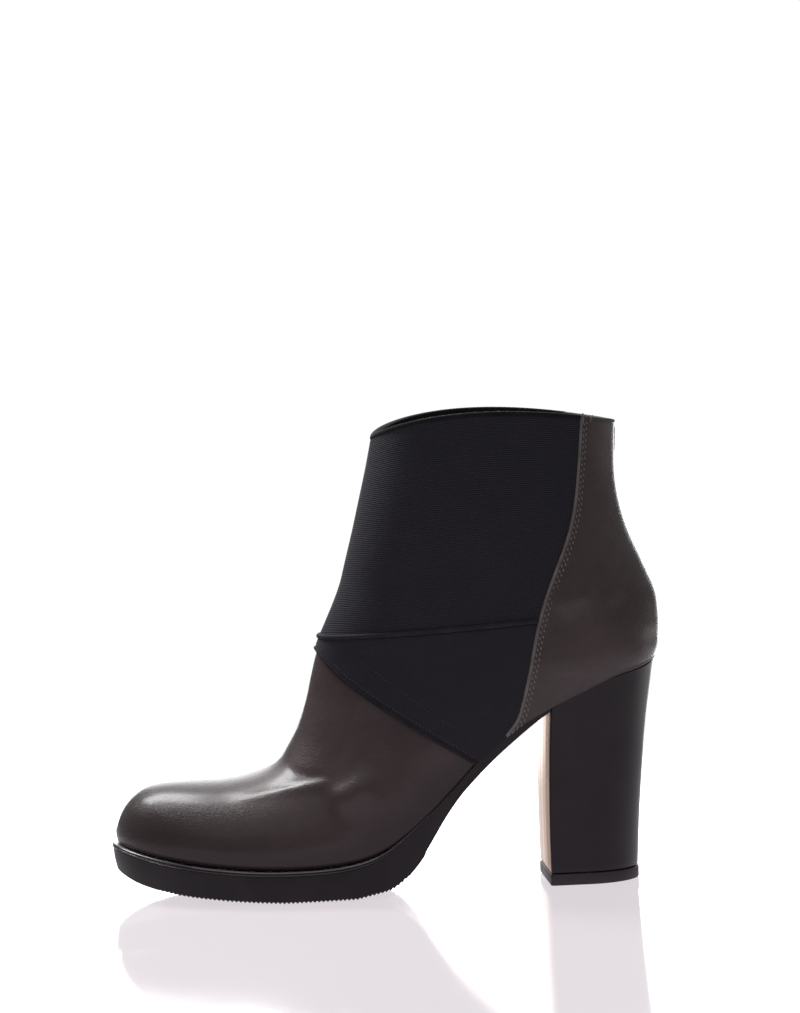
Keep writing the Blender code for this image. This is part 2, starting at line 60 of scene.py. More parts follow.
# The last, as in the part's source: one row for each section from toe tip to collar
Section = namedtuple(
    "Section",
    "name top_x top_z low_x low_z outer inner outer_low inner_low ridge_y crown back rise",
)
SECTIONS = [
    Section("tip", -118.9, 28.6, -118.9, 23.9, 42.5, 42.0, 41.0, 41.0, 7.0, 0.90, 32, 0),
    Section("toe_front", -115.0, 38.2, -115.3, 23.0, 42.5, 42.0, 41.0, 41.0, 7.0, 0.90, 32, 0),
    Section("toe_box", -105.5, 46.8, -105.8, 20.5, 42.5, 42.0, 41.2, 41.0, 6.8, 0.88, 32, 0),
    Section("toe_crown", -91.0, 50.0, -91.0, 17.8, 43.0, 42.0, 41.5, 40.8, 6.2, 0.86, 32, 0),
    Section("toe_root", -75.0, 50.6, -75.0, 15.8, 43.0, 41.8, 41.5, 40.3, 5.4, 0.86, 32, 0),
    Section("vamp", -62.0, 52.1, -58.0, 14.5, 43.0, 41.3, 41.5, 39.6, 4.6, 0.85, 32, 0),
    Section("ball", -53.0, 54.5, -41.0, 14.2, 42.5, 40.3, 41.0, 38.2, 4.0, 0.83, 32, 0),
    Section("flex", -47.0, 57.9, -24.0, 15.0, 41.2, 38.8, 39.5, 35.8, 3.5, 0.80, 32, 0),
    Section("waist_low", -44.0, 62.2, -8.0, 18.8, 39.5, 36.8, 37.2, 33.0, 3.0, 0.76, 32, 0),
    Section("waist_mid", -41.3, 66.8, 6.0, 27.2, 37.8, 35.0, 34.6, 30.5, 2.5, 0.73, 32, 0),
    Section("waist_high", -38.9, 71.5, 20.0, 39.2, 36.4, 33.9, 32.2, 28.6, 2.0, 0.71, 32, 0),
    Section("arch_low", -37.0, 76.5, 34.0, 53.2, 35.3, 33.3, 30.2, 27.4, 1.5, 0.69, 32, 0),
    Section("arch_high", -35.4, 81.5, 50.0, 67.4, 34.5, 33.1, 28.8, 27.0, 1.1, 0.67, 32, 0),
    Section("seat_front", -34.0, 86.6, 67.0, 77.3, 34.0, 33.1, 28.1, 27.4, 0.7, 0.65, 32, 0),
    Section("seat_mid", -32.8, 91.8, 84.0, 85.1, 33.8, 33.2, 27.9, 27.8, 0.4, 0.63, 32, 0),
    Section("seat_back", -31.5, 97.0, 101.0, 91.4, 33.8, 33.4, 28.3, 28.3, 0.2, 0.61, 32, 0),
    Section("heel_back", -30.1, 102.1, 116.4, 96.0, 33.9, 33.6, 29.4, 29.4, 0.0, 0.59, 33, 0),
    Section("heel_bulge", -28.4, 107.1, 118.3, 107.5, 34.1, 33.9, 30.6, 30.6, 0.0, 0.57, 34, 0),
    Section("throat", -26.2, 112.2, 118.5, 119.2, 34.4, 34.3, 31.2, 31.2, 0.0, 0.56, 35, 0),
    Section("ankle_low", -18.9, 128.4, 116.7, 129.6, 35.0, 35.0, 31.8, 31.8, 0.0, 0.54, 37, 0),
    Section("ankle", -15.3, 140.0, 112.0, 139.6, 35.7, 35.7, 32.3, 32.3, 0.0, 0.52, 39, 0),
    Section("ankle_high", -11.6, 153.6, 106.0, 153.4, 36.0, 36.0, 32.8, 32.8, 0.0, 0.51, 41, 1.0),
    Section("shaft_low", -7.9, 168.2, 102.3, 169.5, 35.7, 35.7, 33.2, 33.2, 0.0, 0.50, 43, 3.0),
    Section("shaft_high", -4.5, 181.9, 101.6, 184.2, 35.3, 35.3, 33.6, 33.6, 0.0, 0.50, 45, 5.4),
    Section("collar", -1.3, 196.4, 102.3, 199.8, 35.0, 35.0, 34.0, 34.0, 0.0, 0.50, 46, 8.0),
]
ROW = {section.name: number for number, section in enumerate(SECTIONS)}
TOE_TIP_X = SECTIONS[ROW["tip"]].low_x
HEEL_BACK_X = SECTIONS[ROW["heel_back"]].low_x
TOE_OUTER_LENGTH = 80.0
TOE_INNER_LENGTH = 52.0
SHOULDER = 0.5
BOW_SKEW = 0.75

# The sole along its length, as in the part's source
SoleRow = namedtuple("SoleRow", "x underside ledge lip slant")
SOLE_ROWS = [
    SoleRow(-118.9, 12.0, 1.6, 1.7, 1.7),
    SoleRow(-112.0, 8.4, 1.7, 1.7, 1.7),
    SoleRow(-104.0, 6.0, 1.8, 1.7, 1.6),
    SoleRow(-95.0, 4.1, 2.0, 1.7, 1.6),
    SoleRow(-80.0, 2.2, 2.1, 1.7, 1.5),
    SoleRow(-65.0, 0.9, 2.2, 1.7, 1.4),
    SoleRow(-51.0, 0.1, 2.2, 1.7, 1.3),
    SoleRow(-36.0, -0.5, 2.2, 1.7, 1.2),
    SoleRow(-20.0, -0.3, 2.1, 1.7, 1.4),
    SoleRow(-10.0, 1.4, 1.8, 1.6, 1.8),
    SoleRow(0.0, 4.6, 1.2, 1.2, 2.4),
    SoleRow(6.0, 9.0, 0.8, 0.8, 3.0),
    SoleRow(13.0, 17.0, 0.6, 0.6, 3.4),
    SoleRow(21.0, 29.5, 0.6, 0.5, 3.2),
    SoleRow(31.0, 43.0, 0.6, 0.5, 2.8),
    SoleRow(43.0, 55.4, 0.6, 0.5, 2.2),
    SoleRow(56.0, 66.6, 0.7, 0.5, 1.2),
    SoleRow(67.0, 74.8, 0.8, 0.5, 0.5),
    SoleRow(84.0, 82.6, 0.8, 0.5, 0.4),
]

# The heel from its foot to its slanted top, as in the part's source
HeelRow = namedtuple("HeelRow", "level breast_x back_x half_width rounding")
HEEL_ROWS = [
    HeelRow(0.00, 67.5, 107.9, 23.0, 24.0),
    HeelRow(0.25, 67.4, 109.2, 23.6, 25.0),
    HeelRow(0.50, 67.6, 111.2, 24.8, 27.0),
    HeelRow(0.75, 68.1, 113.8, 26.5, 30.0),
    HeelRow(0.90, 68.6, 116.0, 28.0, 32.0),
    HeelRow(1.00, 69.0, 117.6, 28.9, 33.0),
]
HEEL_CORNER = 1.3

# The lip's cross-section from the wall up: how far in from its edge and how far below its top
LIP_PROFILE = [
    (0.45, 2.15), (0.60, 1.98), (0.18, 1.78), (0.0, 1.42), (0.06, 1.12), (0.34, 0.95),
    (0.14, 0.76), (0.22, 0.50), (0.50, 0.20), (0.85, 0.03), (1.15, 0.0), (1.60, 0.30),
]
# Where the painted highlight line along the lip's upper edge ends, and how much farther the lip stands out at
# the toe
LIP_HIGHLIGHT_END_X = 14.0
TOE_LEDGE = 0.9
# The small step at the end of the tread, and where the teeth begin and end
STEP_X = 13.2
TREAD_START = (-104, -98)
TREAD_END = (3.5, 6.5)
# How far the counter hangs over the seam of the heel, and the slant of its stitches in degrees
SKIRT = 0.4
STITCH_SLANT = 32.0

# Seams drawn in the side view
COUNTER_EDGE = np.array([
    (48.4, 67.0), (53.0, 72.8), (56.0, 80.5), (60.2, 98.0), (64.4, 116.6),
    (70.9, 135.2), (78.0, 153.5), (82.4, 174.0), (85.4, 203.5),
])
VAMP_EDGE = np.array([(-30.8, 107.4), (-23.8, 96.7), (-5.1, 81.3), (34.5, 55.6)])
BAND_EDGE = np.array([(-28.4, 108.9), (63.5, 115.0)])
GUSSET_ROW = np.array([(-12.0, 101.0), (-2.5, 93.5), (8.0, 85.0), (18.5, 77.2), (28.0, 71.0)])
# Lean of the gussets' ribs in degrees, and how far their stitches lie from the vamp's edge
RIB_LEAN = 35.0
GUSSET_STITCH_INSET = 2.7

# Loose thread ends at the top of the counter
THREAD_TAILS = [
    [(87.0, 199.5), (87.2, 202.0), (87.0, 204.0)],
    [(90.2, 199.5), (90.6, 201.4), (91.6, 202.9)],
]

# Heights of the layers above the upper's own surface
WALL = 1.8
CLEARANCE = 0.3
ELASTIC_TOP = 1.2
COUNTER_TOP = 1.5
LIFT_THICKNESS = 5.0
LIFT_LEDGE = 0.3
INSOLE_INSET = 3.0

# Creases, each given by its path in the side view, height, half width, and the shares over which its ends
# fade
Crease = namedtuple("Crease", "path height width fade_in fade_out")
INSTEP_PATH = [(-46.2, 56.0), (-41.5, 54.1), (-36.0, 53.0), (-30.0, 52.3), (-25.0, 52.1)]
CREASES = [
    Crease(INSTEP_PATH, -0.38, 2.4, 0.4, 0.3),
    Crease([(-72.0, 43.0), (-61.0, 44.3), (-50.0, 46.0), (-39.0, 47.6)], 0.5, 3.8, 0.5, 0.3),
    Crease([(-54.0, 45.5), (-41.0, 47.5), (-33.0, 49.0), (-26.0, 51.0)], 1.0, 2.8, 0.4, 0.25),
    Crease([(-31.0, 41.0), (-18.6, 47.0), (-5.0, 55.4)], 1.5, 4.6, 0.4, 0.4),
    Crease([(-30.0, 38.4), (-17.4, 44.4), (-4.0, 52.4)], 2.0, 6.6, 0.4, 0.4),
]
COUNTER_CREASES = [
    Crease([(69.5, 119.5), (79.0, 125.5), (92.0, 132.0)], 1.4, 5.5, 0.45, 0.45),
    Crease([(90.0, 114.0), (100.5, 120.5), (107.0, 128.0)], -1.15, 5.5, 0.4, 0.4),
]
# The inner side has the same creases, a little weaker
INNER_CREASE_SHARE = 0.8

# Steps in which a section's length is measured
FINE = 200


def cubic_spline(knots, values):
    """Natural cubic spline through the rows of values, returned as a function of the knot value."""
    knots = np.asarray(knots, float)
    values = np.asarray(values, float)
    step = np.diff(knots)
    slope = np.diff(values, axis=0) / step[:, None]
    system = np.eye(len(knots))
    bend = np.zeros_like(values)
    for row in range(1, len(knots) - 1):
        system[row, row - 1] = step[row - 1]
        system[row, row] = 2 * (step[row - 1] + step[row])
        system[row, row + 1] = step[row]
        bend[row] = 6 * (slope[row] - slope[row - 1])
    second = np.linalg.solve(system, bend)

    def evaluate(at):
        at = np.atleast_1d(np.asarray(at, float))
        piece = np.clip(np.searchsorted(knots, at, side="right") - 1, 0, len(step) - 1)
        width = step[piece][:, None]
        after = ((at - knots[piece])[:, None]) / width
        before = 1 - after
        curve = (before**3 - before) * second[piece] + (after**3 - after) * second[piece + 1]
        return before * values[piece] + after * values[piece + 1] + curve * width**2 / 6

    return evaluate


SECTION_CURVE = cubic_spline(range(len(SECTIONS)), [section[1:] for section in SECTIONS])
SOLE_CURVE = cubic_spline([row.x for row in SOLE_ROWS], [row[1:] for row in SOLE_ROWS])
HEEL_CURVE = cubic_spline([row.level for row in HEEL_ROWS], [row[1:] for row in HEEL_ROWS])


def round_over(share):
    """Quarter ellipse from 0 at share 0 to 1 at share 1, level after that."""
    return np.sqrt(1 - (1 - np.clip(share, 0, 1)) ** 2)


def smooth_step(low, high, value):
    """0 below low, 1 above high and smooth between them."""
    share = np.clip((value - low) / (high - low), 0, 1)
    return share * share * (3 - 2 * share)


def hump(value, middle, width):
    """Bell of height 1 round a middle."""
    return np.exp(-(((value - middle) / width) ** 2))


def sections_at(place):
    """Sizes of the sections at an array of places, counted in table rows."""
    columns = SECTION_CURVE(np.ravel(place)).T
    return Section("cut", *[column.reshape(np.shape(place)) for column in columns])


def side_view(place, along):
    """x and z of points of the last, by place and by share from the ridge to the lower end."""
    cut = sections_at(place)
    run_x = cut.low_x - cut.top_x
    run_z = cut.low_z - cut.top_z
    length = np.hypot(run_x, run_z)
    skewed = np.maximum(along, 0) ** BOW_SKEW
    bow = cut.rise * 4 * skewed * (1 - skewed)
    x = cut.top_x + along * run_x - bow * run_z / length
    z = cut.top_z + along * run_z + bow * run_x / length
    return x, z


def last_surface(place, along, side):
    """Points of the upper's outer surface; side is -1 for outer and 1 for inner."""
    place, along = np.broadcast_arrays(np.asarray(place, float), np.asarray(along, float))
    cut = sections_at(place)
    x, z = side_view(place, along)
    shoulder, low = (cut.outer, cut.outer_low) if side < 0 else (cut.inner, cut.inner_low)
    tuck = np.maximum((along - SHOULDER) / (1 - SHOULDER), 0) ** 2
    edge = side * (shoulder + (low - shoulder) * tuck)
    toe = round_over((x - TOE_TIP_X) / (TOE_OUTER_LENGTH if side < 0 else TOE_INNER_LENGTH))
    back_x = np.where(place >= ROW["heel_back"], cut.low_x, HEEL_BACK_X)
    heel = round_over((back_x - x) / cut.back)
    y = (cut.ridge_y + (edge - cut.ridge_y) * round_over(along / cut.crown) * toe) * heel
    return np.stack([x, y, z], -1)


def last_normals(place, along, side):
    """Outward directions of the upper's surface."""
    step = 1e-3
    place = np.clip(np.asarray(place, float), step, ROW["collar"] - step)
    along = np.clip(np.asarray(along, float), step, 1 - step)
    upward = last_surface(place + step, along, side) - last_surface(place - step, along, side)
    lengthwise = last_surface(place, along + step, side) - last_surface(place, along - step, side)
    return unit(side * np.cross(upward, lengthwise))


def unit(vectors):
    return vectors / np.maximum(np.linalg.norm(vectors, axis=-1, keepdims=True), 1e-9)


def places_of(x, z):
    """Place and share of side-view points, found from a coarse table and then by Newton's steps."""
    x = np.atleast_1d(np.asarray(x, float))
    z = np.atleast_1d(np.asarray(z, float))
    table_place, table_along = np.meshgrid(np.linspace(0, ROW["collar"], 126), np.linspace(0, 1, 41))
    table_x, table_z = side_view(table_place.ravel(), table_along.ravel())
    nearest = np.argmin((table_x - x[:, None]) ** 2 + (table_z - z[:, None]) ** 2, axis=1)
    place = table_place.ravel()[nearest]
    along = table_along.ravel()[nearest]
    step = 1e-4
    for _ in range(12):
        here = np.stack(side_view(place, along))
        by_place = (np.stack(side_view(place + step, along)) - here) / step
        by_along = (np.stack(side_view(place, along + step)) - here) / step
        miss = np.stack([x, z]) - here
        scale = by_place[0] * by_along[1] - by_place[1] * by_along[0]
        scale = np.where(np.abs(scale) < 1e-6, 1e-6, scale)
        move_place = (miss[0] * by_along[1] - miss[1] * by_along[0]) / scale
        move_along = (by_place[0] * miss[1] - by_place[1] * miss[0]) / scale
        place = np.clip(place + np.clip(move_place, -1, 1), 0, ROW["collar"])
        along = np.clip(along + np.clip(move_along, -0.2, 0.2), 0, 1)
    return place, along


def travelled(points):
    """Distance covered along a line of points."""
    return np.concatenate([[0], np.cumsum(np.linalg.norm(np.diff(points, axis=0), axis=1))])


def section_shares(place, start, end, side, count, near_start=()):
    """Shares of one section spaced evenly by length, after any given distances from its start."""
    fine = start + (end - start) * (1 - np.cos(np.linspace(0, np.pi, FINE))) / 2
    travel = travelled(last_surface(np.full(FINE, place), fine, side))
    given = np.asarray(near_start, float) * min(1, travel[-1] / 60) if len(near_start) else np.array([0.0])
    rest = np.linspace(given[-1], travel[-1], count - len(given) + 1)[1:]
    return np.interp(np.concatenate([given, rest]), travel, fine), travel[-1]


def resampled(targets, knots, rows):
    """Rows of numbers at target values between knots."""
    return np.stack([np.interp(targets, knots, column) for column in rows.T], -1)


def by_length(path, side, count):
    """A path of places and shares resampled to points evenly spaced on the surface."""
    dense = resampled(np.linspace(0, len(path) - 1, 400), np.arange(len(path)), path)
    travel = travelled(last_surface(dense[:, 0], dense[:, 1], side))
    return resampled(np.linspace(0, travel[-1], count), travel, dense)


def seam_curve(seam, count):
    knots = np.arange(len(seam))
    return cubic_spline(knots, seam)(np.linspace(0, knots[-1], count))


def band_height(x):
    """Height of the band's straight lower edge."""
    (front_x, front_z), (back_x, back_z) = BAND_EDGE
    return front_z + (back_z - front_z) / (back_x - front_x) * (x - front_x)


def ridge_place(line):
    """Place at which the ridge crosses a side-view line, given as a function of x and z that is 0 on it."""
    places = np.linspace(ROW["seat_mid"], ROW["ankle_low"], 2000)
    x, z = side_view(places, np.zeros_like(places))
    return np.interp(0, line(x, z), places)


def counter_path(low_z, high_z):
    """The counter's front edge as places and shares, between two heights."""
    line = seam_curve(COUNTER_EDGE, 160)
    line = line[(line[:, 1] >= low_z) & (line[:, 1] <= high_z)]
    return np.stack(places_of(line[:, 0], line[:, 1]), -1)


def band_path():
    """The band's lower edge from the ridge to the counter, as places and shares."""
    start = ridge_place(lambda x, z: z - band_height(x))
    ridge_x = float(side_view(np.array([start]), np.array([0.0]))[0][0])
    edge = seam_curve(COUNTER_EDGE, 400)
    end_x = np.interp(0, edge[:, 1] - band_height(edge[:, 0]), edge[:, 0])
    x = ridge_x + (end_x - ridge_x) * np.linspace(0, 1, 160) ** 2
    path = np.stack(places_of(x, band_height(x)), -1)
    path[0] = (start, 0)
    return path


def vamp_path():
    """The gusset's edge over the vamp from the ridge down to the feather line."""
    line = seam_curve(VAMP_EDGE, 600)

    def ahead(x, z):
        return x - np.interp(-z, -line[:, 1], line[:, 0])

    start = ridge_place(ahead)
    ridge_x, ridge_z = (float(value[0]) for value in side_view(np.array([start]), np.array([0.0])))
    drop = ridge_z - (ridge_z - line[-1, 1]) * np.linspace(0, 1, 200) ** 2
    x = np.interp(-drop, -line[:, 1], line[:, 0])
    path = np.stack(places_of(x, drop), -1)
    path[0] = (start, 0)
    path[-1, 1] = 1
    return path


def coons(bottom, top, left, right):
    """Patch of places and shares between four edges."""
    u = np.linspace(0, 1, len(bottom))[None, :, None]
    v = np.linspace(0, 1, len(left))[:, None, None]
    across = (1 - v) * bottom[None] + v * top[None]
    upward = (1 - u) * left[:, None] + u * right[:, None]
    low = (1 - u) * bottom[0] + u * bottom[-1]
    high = (1 - u) * top[0] + u * top[-1]
    return across + upward - ((1 - v) * low + v * high)


def grid_faces(rows, columns):
    """Quads of a grid of points, row by row."""
    corner = (np.arange(rows - 1)[:, None] * columns + np.arange(columns - 1)[None, :]).ravel()
    return np.stack([corner, corner + 1, corner + columns + 1, corner + columns], -1)


def merged(points, faces, digits):
    """Coinciding points made one: which of them stay, the faces over those, and which faces keep an area."""
    _, first, index = np.unique(np.round(points, digits), axis=0, return_index=True, return_inverse=True)
    faces = index.reshape(-1)[faces]
    kinds = 1 + np.count_nonzero(np.diff(np.sort(faces, axis=1), axis=1), axis=1)
    return first, faces, kinds > 2


def weld(points, faces, *values):
    """A surface with its coinciding points merged; values for each point are kept."""
    first, faces, whole = merged(points, faces, 2)
    return points[first], faces[whole], *[value[first] for value in values]


def point_normals(points, faces):
    """Outward directions at the points of a surface round the boot's middle plane."""
    diagonal = points[faces[:, 2]] - points[faces[:, 0]]
    other = points[faces[:, 3]] - points[faces[:, 1]]
    face_normal = np.cross(diagonal, other)
    total = np.zeros_like(points)
    for corner in range(4):
        np.add.at(total, faces[:, corner], face_normal)
    return unit(total)


def facing_out(points, faces):
    """The faces turned so that they look away from the boot's middle plane."""
    centre = points.mean(axis=0)
    centre[1] = 0
    if np.sum(point_normals(points, faces) * (points - centre)) < 0:
        return faces[:, ::-1]
    return faces


def edges_of(faces):
    """Directed edges of faces, without those of no length."""
    edges = np.concatenate([faces[:, [corner, (corner + 1) % 4]] for corner in range(4)])
    return edges[edges[:, 0] != edges[:, 1]]


def border_of(faces, count):
    """Directed edges that only one face uses."""
    edges = edges_of(faces)
    key = edges.min(axis=1) * count + edges.max(axis=1)
    _, where, uses = np.unique(key, return_index=True, return_counts=True)
    return edges[where[uses == 1]]


def softened(points, faces, amount, rounds):
    """Points moved towards their neighbours by an amount for each, with the border kept in place."""
    edges = edges_of(faces)
    both = np.concatenate([edges, edges[:, ::-1]])
    number = np.maximum(np.bincount(both[:, 0], minlength=len(points)), 1)[:, None]
    amount = amount.copy()
    amount[border_of(faces, len(points)).ravel()] = 0
    for _ in range(rounds):
        total = np.zeros_like(points)
        np.add.at(total, both[:, 0], points[both[:, 1]])
        points = points + (total / number - points) * amount[:, None] * 0.6
    return points


def closed_skin(points, faces, top, bottom):
    """Closed shell over a surface between two heights; labels are 0 outside, 1 inside and 2 at edges."""
    normal = point_normals(points, faces)
    count = len(points)
    outside = points + normal * np.broadcast_to(top, count)[:, None]
    inside = points + normal * np.broadcast_to(bottom, count)[:, None]
    border = border_of(faces, count)
    walls = np.stack([border[:, 1], border[:, 0], border[:, 0] + count, border[:, 1] + count], -1)
    every = np.concatenate([faces, faces[:, ::-1] + count, walls])
    labels = np.repeat([0, 1, 2], [len(faces), len(faces), len(walls)])
    return np.concatenate([outside, inside]), every, labels


def swept_trim(path, up, profile, swell=None):
    """Closed strip of one cross-section along a path; the profile is a loop of (across, height)."""
    profile = np.broadcast_to(np.asarray(profile, float), (len(path), len(profile), 2))
    if swell is not None:
        base = profile[:, :1] * (0, 1)
        profile = base + (profile - base) * swell[:, None, None]
    tangent = unit(np.gradient(path, axis=0))
    up = unit(up - np.sum(up * tangent, axis=1, keepdims=True) * tangent)
    across = np.cross(tangent, up)
    rings = path[:, None] + across[:, None] * profile[..., :1] + up[:, None] * profile[..., 1:]
    count = profile.shape[1]
    around = np.arange(count)
    after = (around + 1) % count
    ring = (np.arange(len(path) - 1) * count)[:, None]
    faces = np.stack([ring + around, ring + count + around, ring + count + after, ring + after], -1)
    faces = faces.reshape(-1, 4)
    last = (len(path) - 1) * count
    fan = np.arange(1, count - 1)
    start_cap = np.stack([np.zeros_like(fan), fan, fan + 1, fan + 1], -1)
    end_cap = start_cap[:, ::-1] + last
    return rings.reshape(-1, 3), np.concatenate([faces, start_cap, end_cap])


def thread_row(path, up, pitch, length, width, height, slant=0.0):
    """A row of short threads along a path, each turned by a slant in degrees."""
    travel = travelled(path)
    centres = np.arange(pitch, travel[-1] - pitch / 2, pitch)
    centre = resampled(centres, travel, path)
    tangent = unit(resampled(centres, travel, np.gradient(path, axis=0)))
    lift = unit(resampled(centres, travel, up))
    across = np.cross(tangent, lift)
    tangent = tangent * np.cos(np.radians(slant)) - across * np.sin(np.radians(slant))
    across = np.cross(tangent, lift)
    stations = np.array([-0.5, -0.36, -0.15, 0.15, 0.36, 0.5]) * length
    swell = np.array([0.35, 0.8, 1.0, 1.0, 0.8, 0.35])
    dip = np.array([-1.0, -0.35, 0, 0, -0.35, -1.0]) * height
    angle = np.arange(6) * np.pi / 3
    local = np.stack([
        np.repeat(stations, 6),
        (swell[:, None] * np.cos(angle)).ravel() * width / 2,
        (swell[:, None] * np.sin(angle)).ravel() * height / 2 + np.repeat(dip, 6),
    ], -1)
    quads = []
    for ring in range(5):
        for turn in range(6):
            after = (turn + 1) % 6
            quads.append((ring * 6 + turn, ring * 6 + after, ring * 6 + 6 + after, ring * 6 + 6 + turn))
    for base, order in ((0, 1), (30, -1)):
        for half in ((0, 1, 2, 3), (0, 3, 4, 5)):
            quads.append([base + corner for corner in half][::-order])
    points = (
        centre[:, None]
        + tangent[:, None] * local[None, :, :1]
        + across[:, None] * local[None, :, 1:2]
        + lift[:, None] * local[None, :, 2:]
    )
    faces = np.asarray(quads)[None] + (np.arange(len(centre)) * len(local))[:, None, None]
    return points.reshape(-1, 3), faces.reshape(-1, 4)


def joined(parts):
    """Several point and face arrays as one."""
    offset = 0
    points = []
    faces = []
    for part_points, part_faces in parts:
        points.append(part_points)
        faces.append(part_faces + offset)
        offset += len(part_points)
    return np.concatenate(points), np.concatenate(faces)


def stacked(levels):
    """Closed solid of paired edges; labels are 0 for sides, 1 for the front, 2 below and 3 on top."""
    count = len(levels[0][0])
    size = 2 * count
    points = np.concatenate([np.concatenate([outer, inner[::-1]]) for outer, inner in levels])
    corner = np.arange(size)
    after = (corner + 1) % size
    low = (np.arange(len(levels) - 1) * size)[:, None]
    sides = np.stack([low + corner, low + after, low + size + after, low + size + corner], -1)
    labels = np.zeros(sides.shape[:2], int)
    labels[:, size - 1] = 1
    station = np.arange(count - 1)
    partner = size - 1 - station
    top = (len(levels) - 1) * size
    floor = np.stack([station, partner, partner - 1, station + 1], -1)
    roof = np.stack([top + station, top + station + 1, top + partner - 1, top + partner], -1)
    faces = np.concatenate([sides.reshape(-1, 4), floor, roof])
    labels = np.concatenate([labels.ravel(), np.full(len(floor), 2), np.full(len(roof), 3)])
    first, faces, whole = merged(points, faces, 3)
    return points[first], faces[whole], labels[whole]


class Shade:
    """One value of a finish's node tree, used in Python arithmetic."""

    def __init__(self, finish, socket):
        self.finish = finish
        self.socket = socket

    def math(self, operation, first, second=0.0):
        return self.finish.node("ShaderNodeMath", {"operation": operation}, {0: first, 1: second})

    def __add__(self, other):
        return self.math("ADD", self, other)

    def __radd__(self, other):
        return self.math("ADD", other, self)

    def __sub__(self, other):
        return self.math("SUBTRACT", self, other)

    def __rsub__(self, other):
        return self.math("SUBTRACT", other, self)

    def __mul__(self, other):
        return self.math("MULTIPLY", self, other)

    def __rmul__(self, other):
        return self.math("MULTIPLY", other, self)

    def sine(self):
        return self.math("SINE", self)

    def between(self, low, high):
        """0 below low, 1 above high and smooth between them."""
        limits = {"Value": self, "From Min": low, "From Max": high}
        return self.finish.node("ShaderNodeMapRange", {"interpolation_type": "SMOOTHSTEP"}, limits)


class Looks:
    """A node tree whose look is written as expressions."""

    def __init__(self, tree):
        self.tree = tree

    def node(self, kind, settings=None, sockets=None, output=0):
        """A node of a kind; its settings are set first, then its sockets are given values or links."""
        made = self.tree.nodes.new(kind)
        for name, value in (settings or {}).items():
            setattr(made, name, value)
        for name, value in (sockets or {}).items():
            self.feed(made.inputs[name], value)
        return Shade(self, made.outputs[output])

    def feed(self, socket, value):
        if isinstance(value, Shade):
            self.tree.links.new(value.socket, socket)
        else:
            socket.default_value = value


# Sockets whose short names here aren't their own in small letters
SOCKETS = {"specular": "Specular IOR Level"}


class Finish(Looks):
    """A material of the boot or of its floor."""

    def __init__(self, name):
        self.material = bpy.data.materials.new(name)
        self.material.use_nodes = True
        super().__init__(self.material.node_tree)
        self.shader = self.tree.nodes["Principled BSDF"]
        self.place = self.node("ShaderNodeTexCoord", output="Object")

    def noise(self, size, detail=2.0, roughness=0.5):
        """Noise with lumps of a size in millimetres."""
        sockets = {"Vector": self.place, "Scale": 1 / (size * MM), "Detail": detail, "Roughness": roughness}
        return self.node("ShaderNodeTexNoise", {}, sockets)

    def cells(self, size):
        """Distance to the middle of the nearest cell, for cells of a size in millimetres."""
        sockets = {"Vector": self.place, "Scale": 1 / (size * MM)}
        return self.node("ShaderNodeTexVoronoi", {"feature": "SMOOTH_F1"}, sockets)

    def measure(self, name):
        """A number that the mesh carries at each point."""
        return self.node("ShaderNodeAttribute", {"attribute_name": name}, output="Fac")

    def blend(self, share, first, second):
        sockets = {0: share, 6: first, 7: second}
        return self.node("ShaderNodeMix", {"data_type": "RGBA"}, sockets, output=2)

    def mottled(self, share, colour, dark, light):
        """A colour between two of its own tints."""
        return self.blend(share, tint(colour, dark), tint(colour, light))

    def streaks(self, scale):
        """Noise drawn out along the axes of small scale."""
        drawn = self.node("ShaderNodeMapping", {}, {"Vector": self.place, "Scale": scale})
        return self.node("ShaderNodeTexNoise", {}, {"Vector": drawn, "Scale": 1.0, "Detail": 3.0})

    def relief(self, height, depth, strength=1.0):
        """Normal of a bump whose full height is a depth in millimetres."""
        sockets = {"Strength": strength, "Distance": depth * MM, "Height": height}
        return self.node("ShaderNodeBump", {}, sockets)

    def dress(self, **sockets):
        """Give the shader its values; names are the sockets' own in small letters, or short for them."""
        for name, value in sockets.items():
            title = SOCKETS.get(name, name.replace("_", " ").title())
            self.feed(self.shader.inputs[title], value)
        return self.material


def tint(colour, factor):
    """A colour made lighter or darker."""
    return (*[min(channel * factor, 1.0) for channel in colour[:3]], 1.0)


def leather_finish(name, colour, grain):
    """Smooth leather with soft mottling, fine grain and a waxed shine."""
    finish = Finish(name)
    mottle = finish.noise(28, 3, 0.55)
    cloud = finish.noise(6, 3, 0.6)
    pores = finish.cells(grain)
    fibre = finish.noise(grain * 0.7, 3, 0.6)
    tone = (mottle * 0.65 + cloud * 0.35).between(0.3, 0.7)
    base = finish.mottled(tone, colour, 0.88, 1.12)
    streak = finish.streaks((110.0, 110.0, 700.0))
    brushed = streak.between(0.6, 0.72) * mottle.between(0.5, 0.62)
    base = finish.blend(brushed * 0.25, base, tint(colour, 1.7))
    # painted shade: the base darkens towards half its colour by the shade values the mesh carries, which the
    # upper sets at the toe tip and along its lower edge at the sole
    base = finish.blend(finish.measure("painted_shade"), base, tint(colour, 0.5))
    shade = (fibre - 0.5) * 0.24 + (mottle - 0.5) * 0.10 + brushed * 0.08 + 0.29
    height = pores * 0.8 + fibre * 0.7 + cloud * 0.9
    return finish.dress(
        base_color=base,
        roughness=shade,
        specular=0.12,
        normal=finish.relief(height, 0.2, 0.85),
        coat_weight=0.24,
        coat_roughness=0.2,
    )


def raw_edge_finish(name, colour):
    """Cut leather edge, fibrous and matt."""
    finish = Finish(name)
    fibre = finish.noise(0.5, 4, 0.7)
    patch = finish.noise(5, 2)
    base = finish.mottled((fibre * 0.6 + patch * 0.4).between(0.35, 0.65), colour, 0.7, 1.2)
    return finish.dress(
        base_color=base,
        roughness=0.62 + patch * 0.2,
        specular=0.35,
        normal=finish.relief(fibre, 0.2, 0.6),
    )


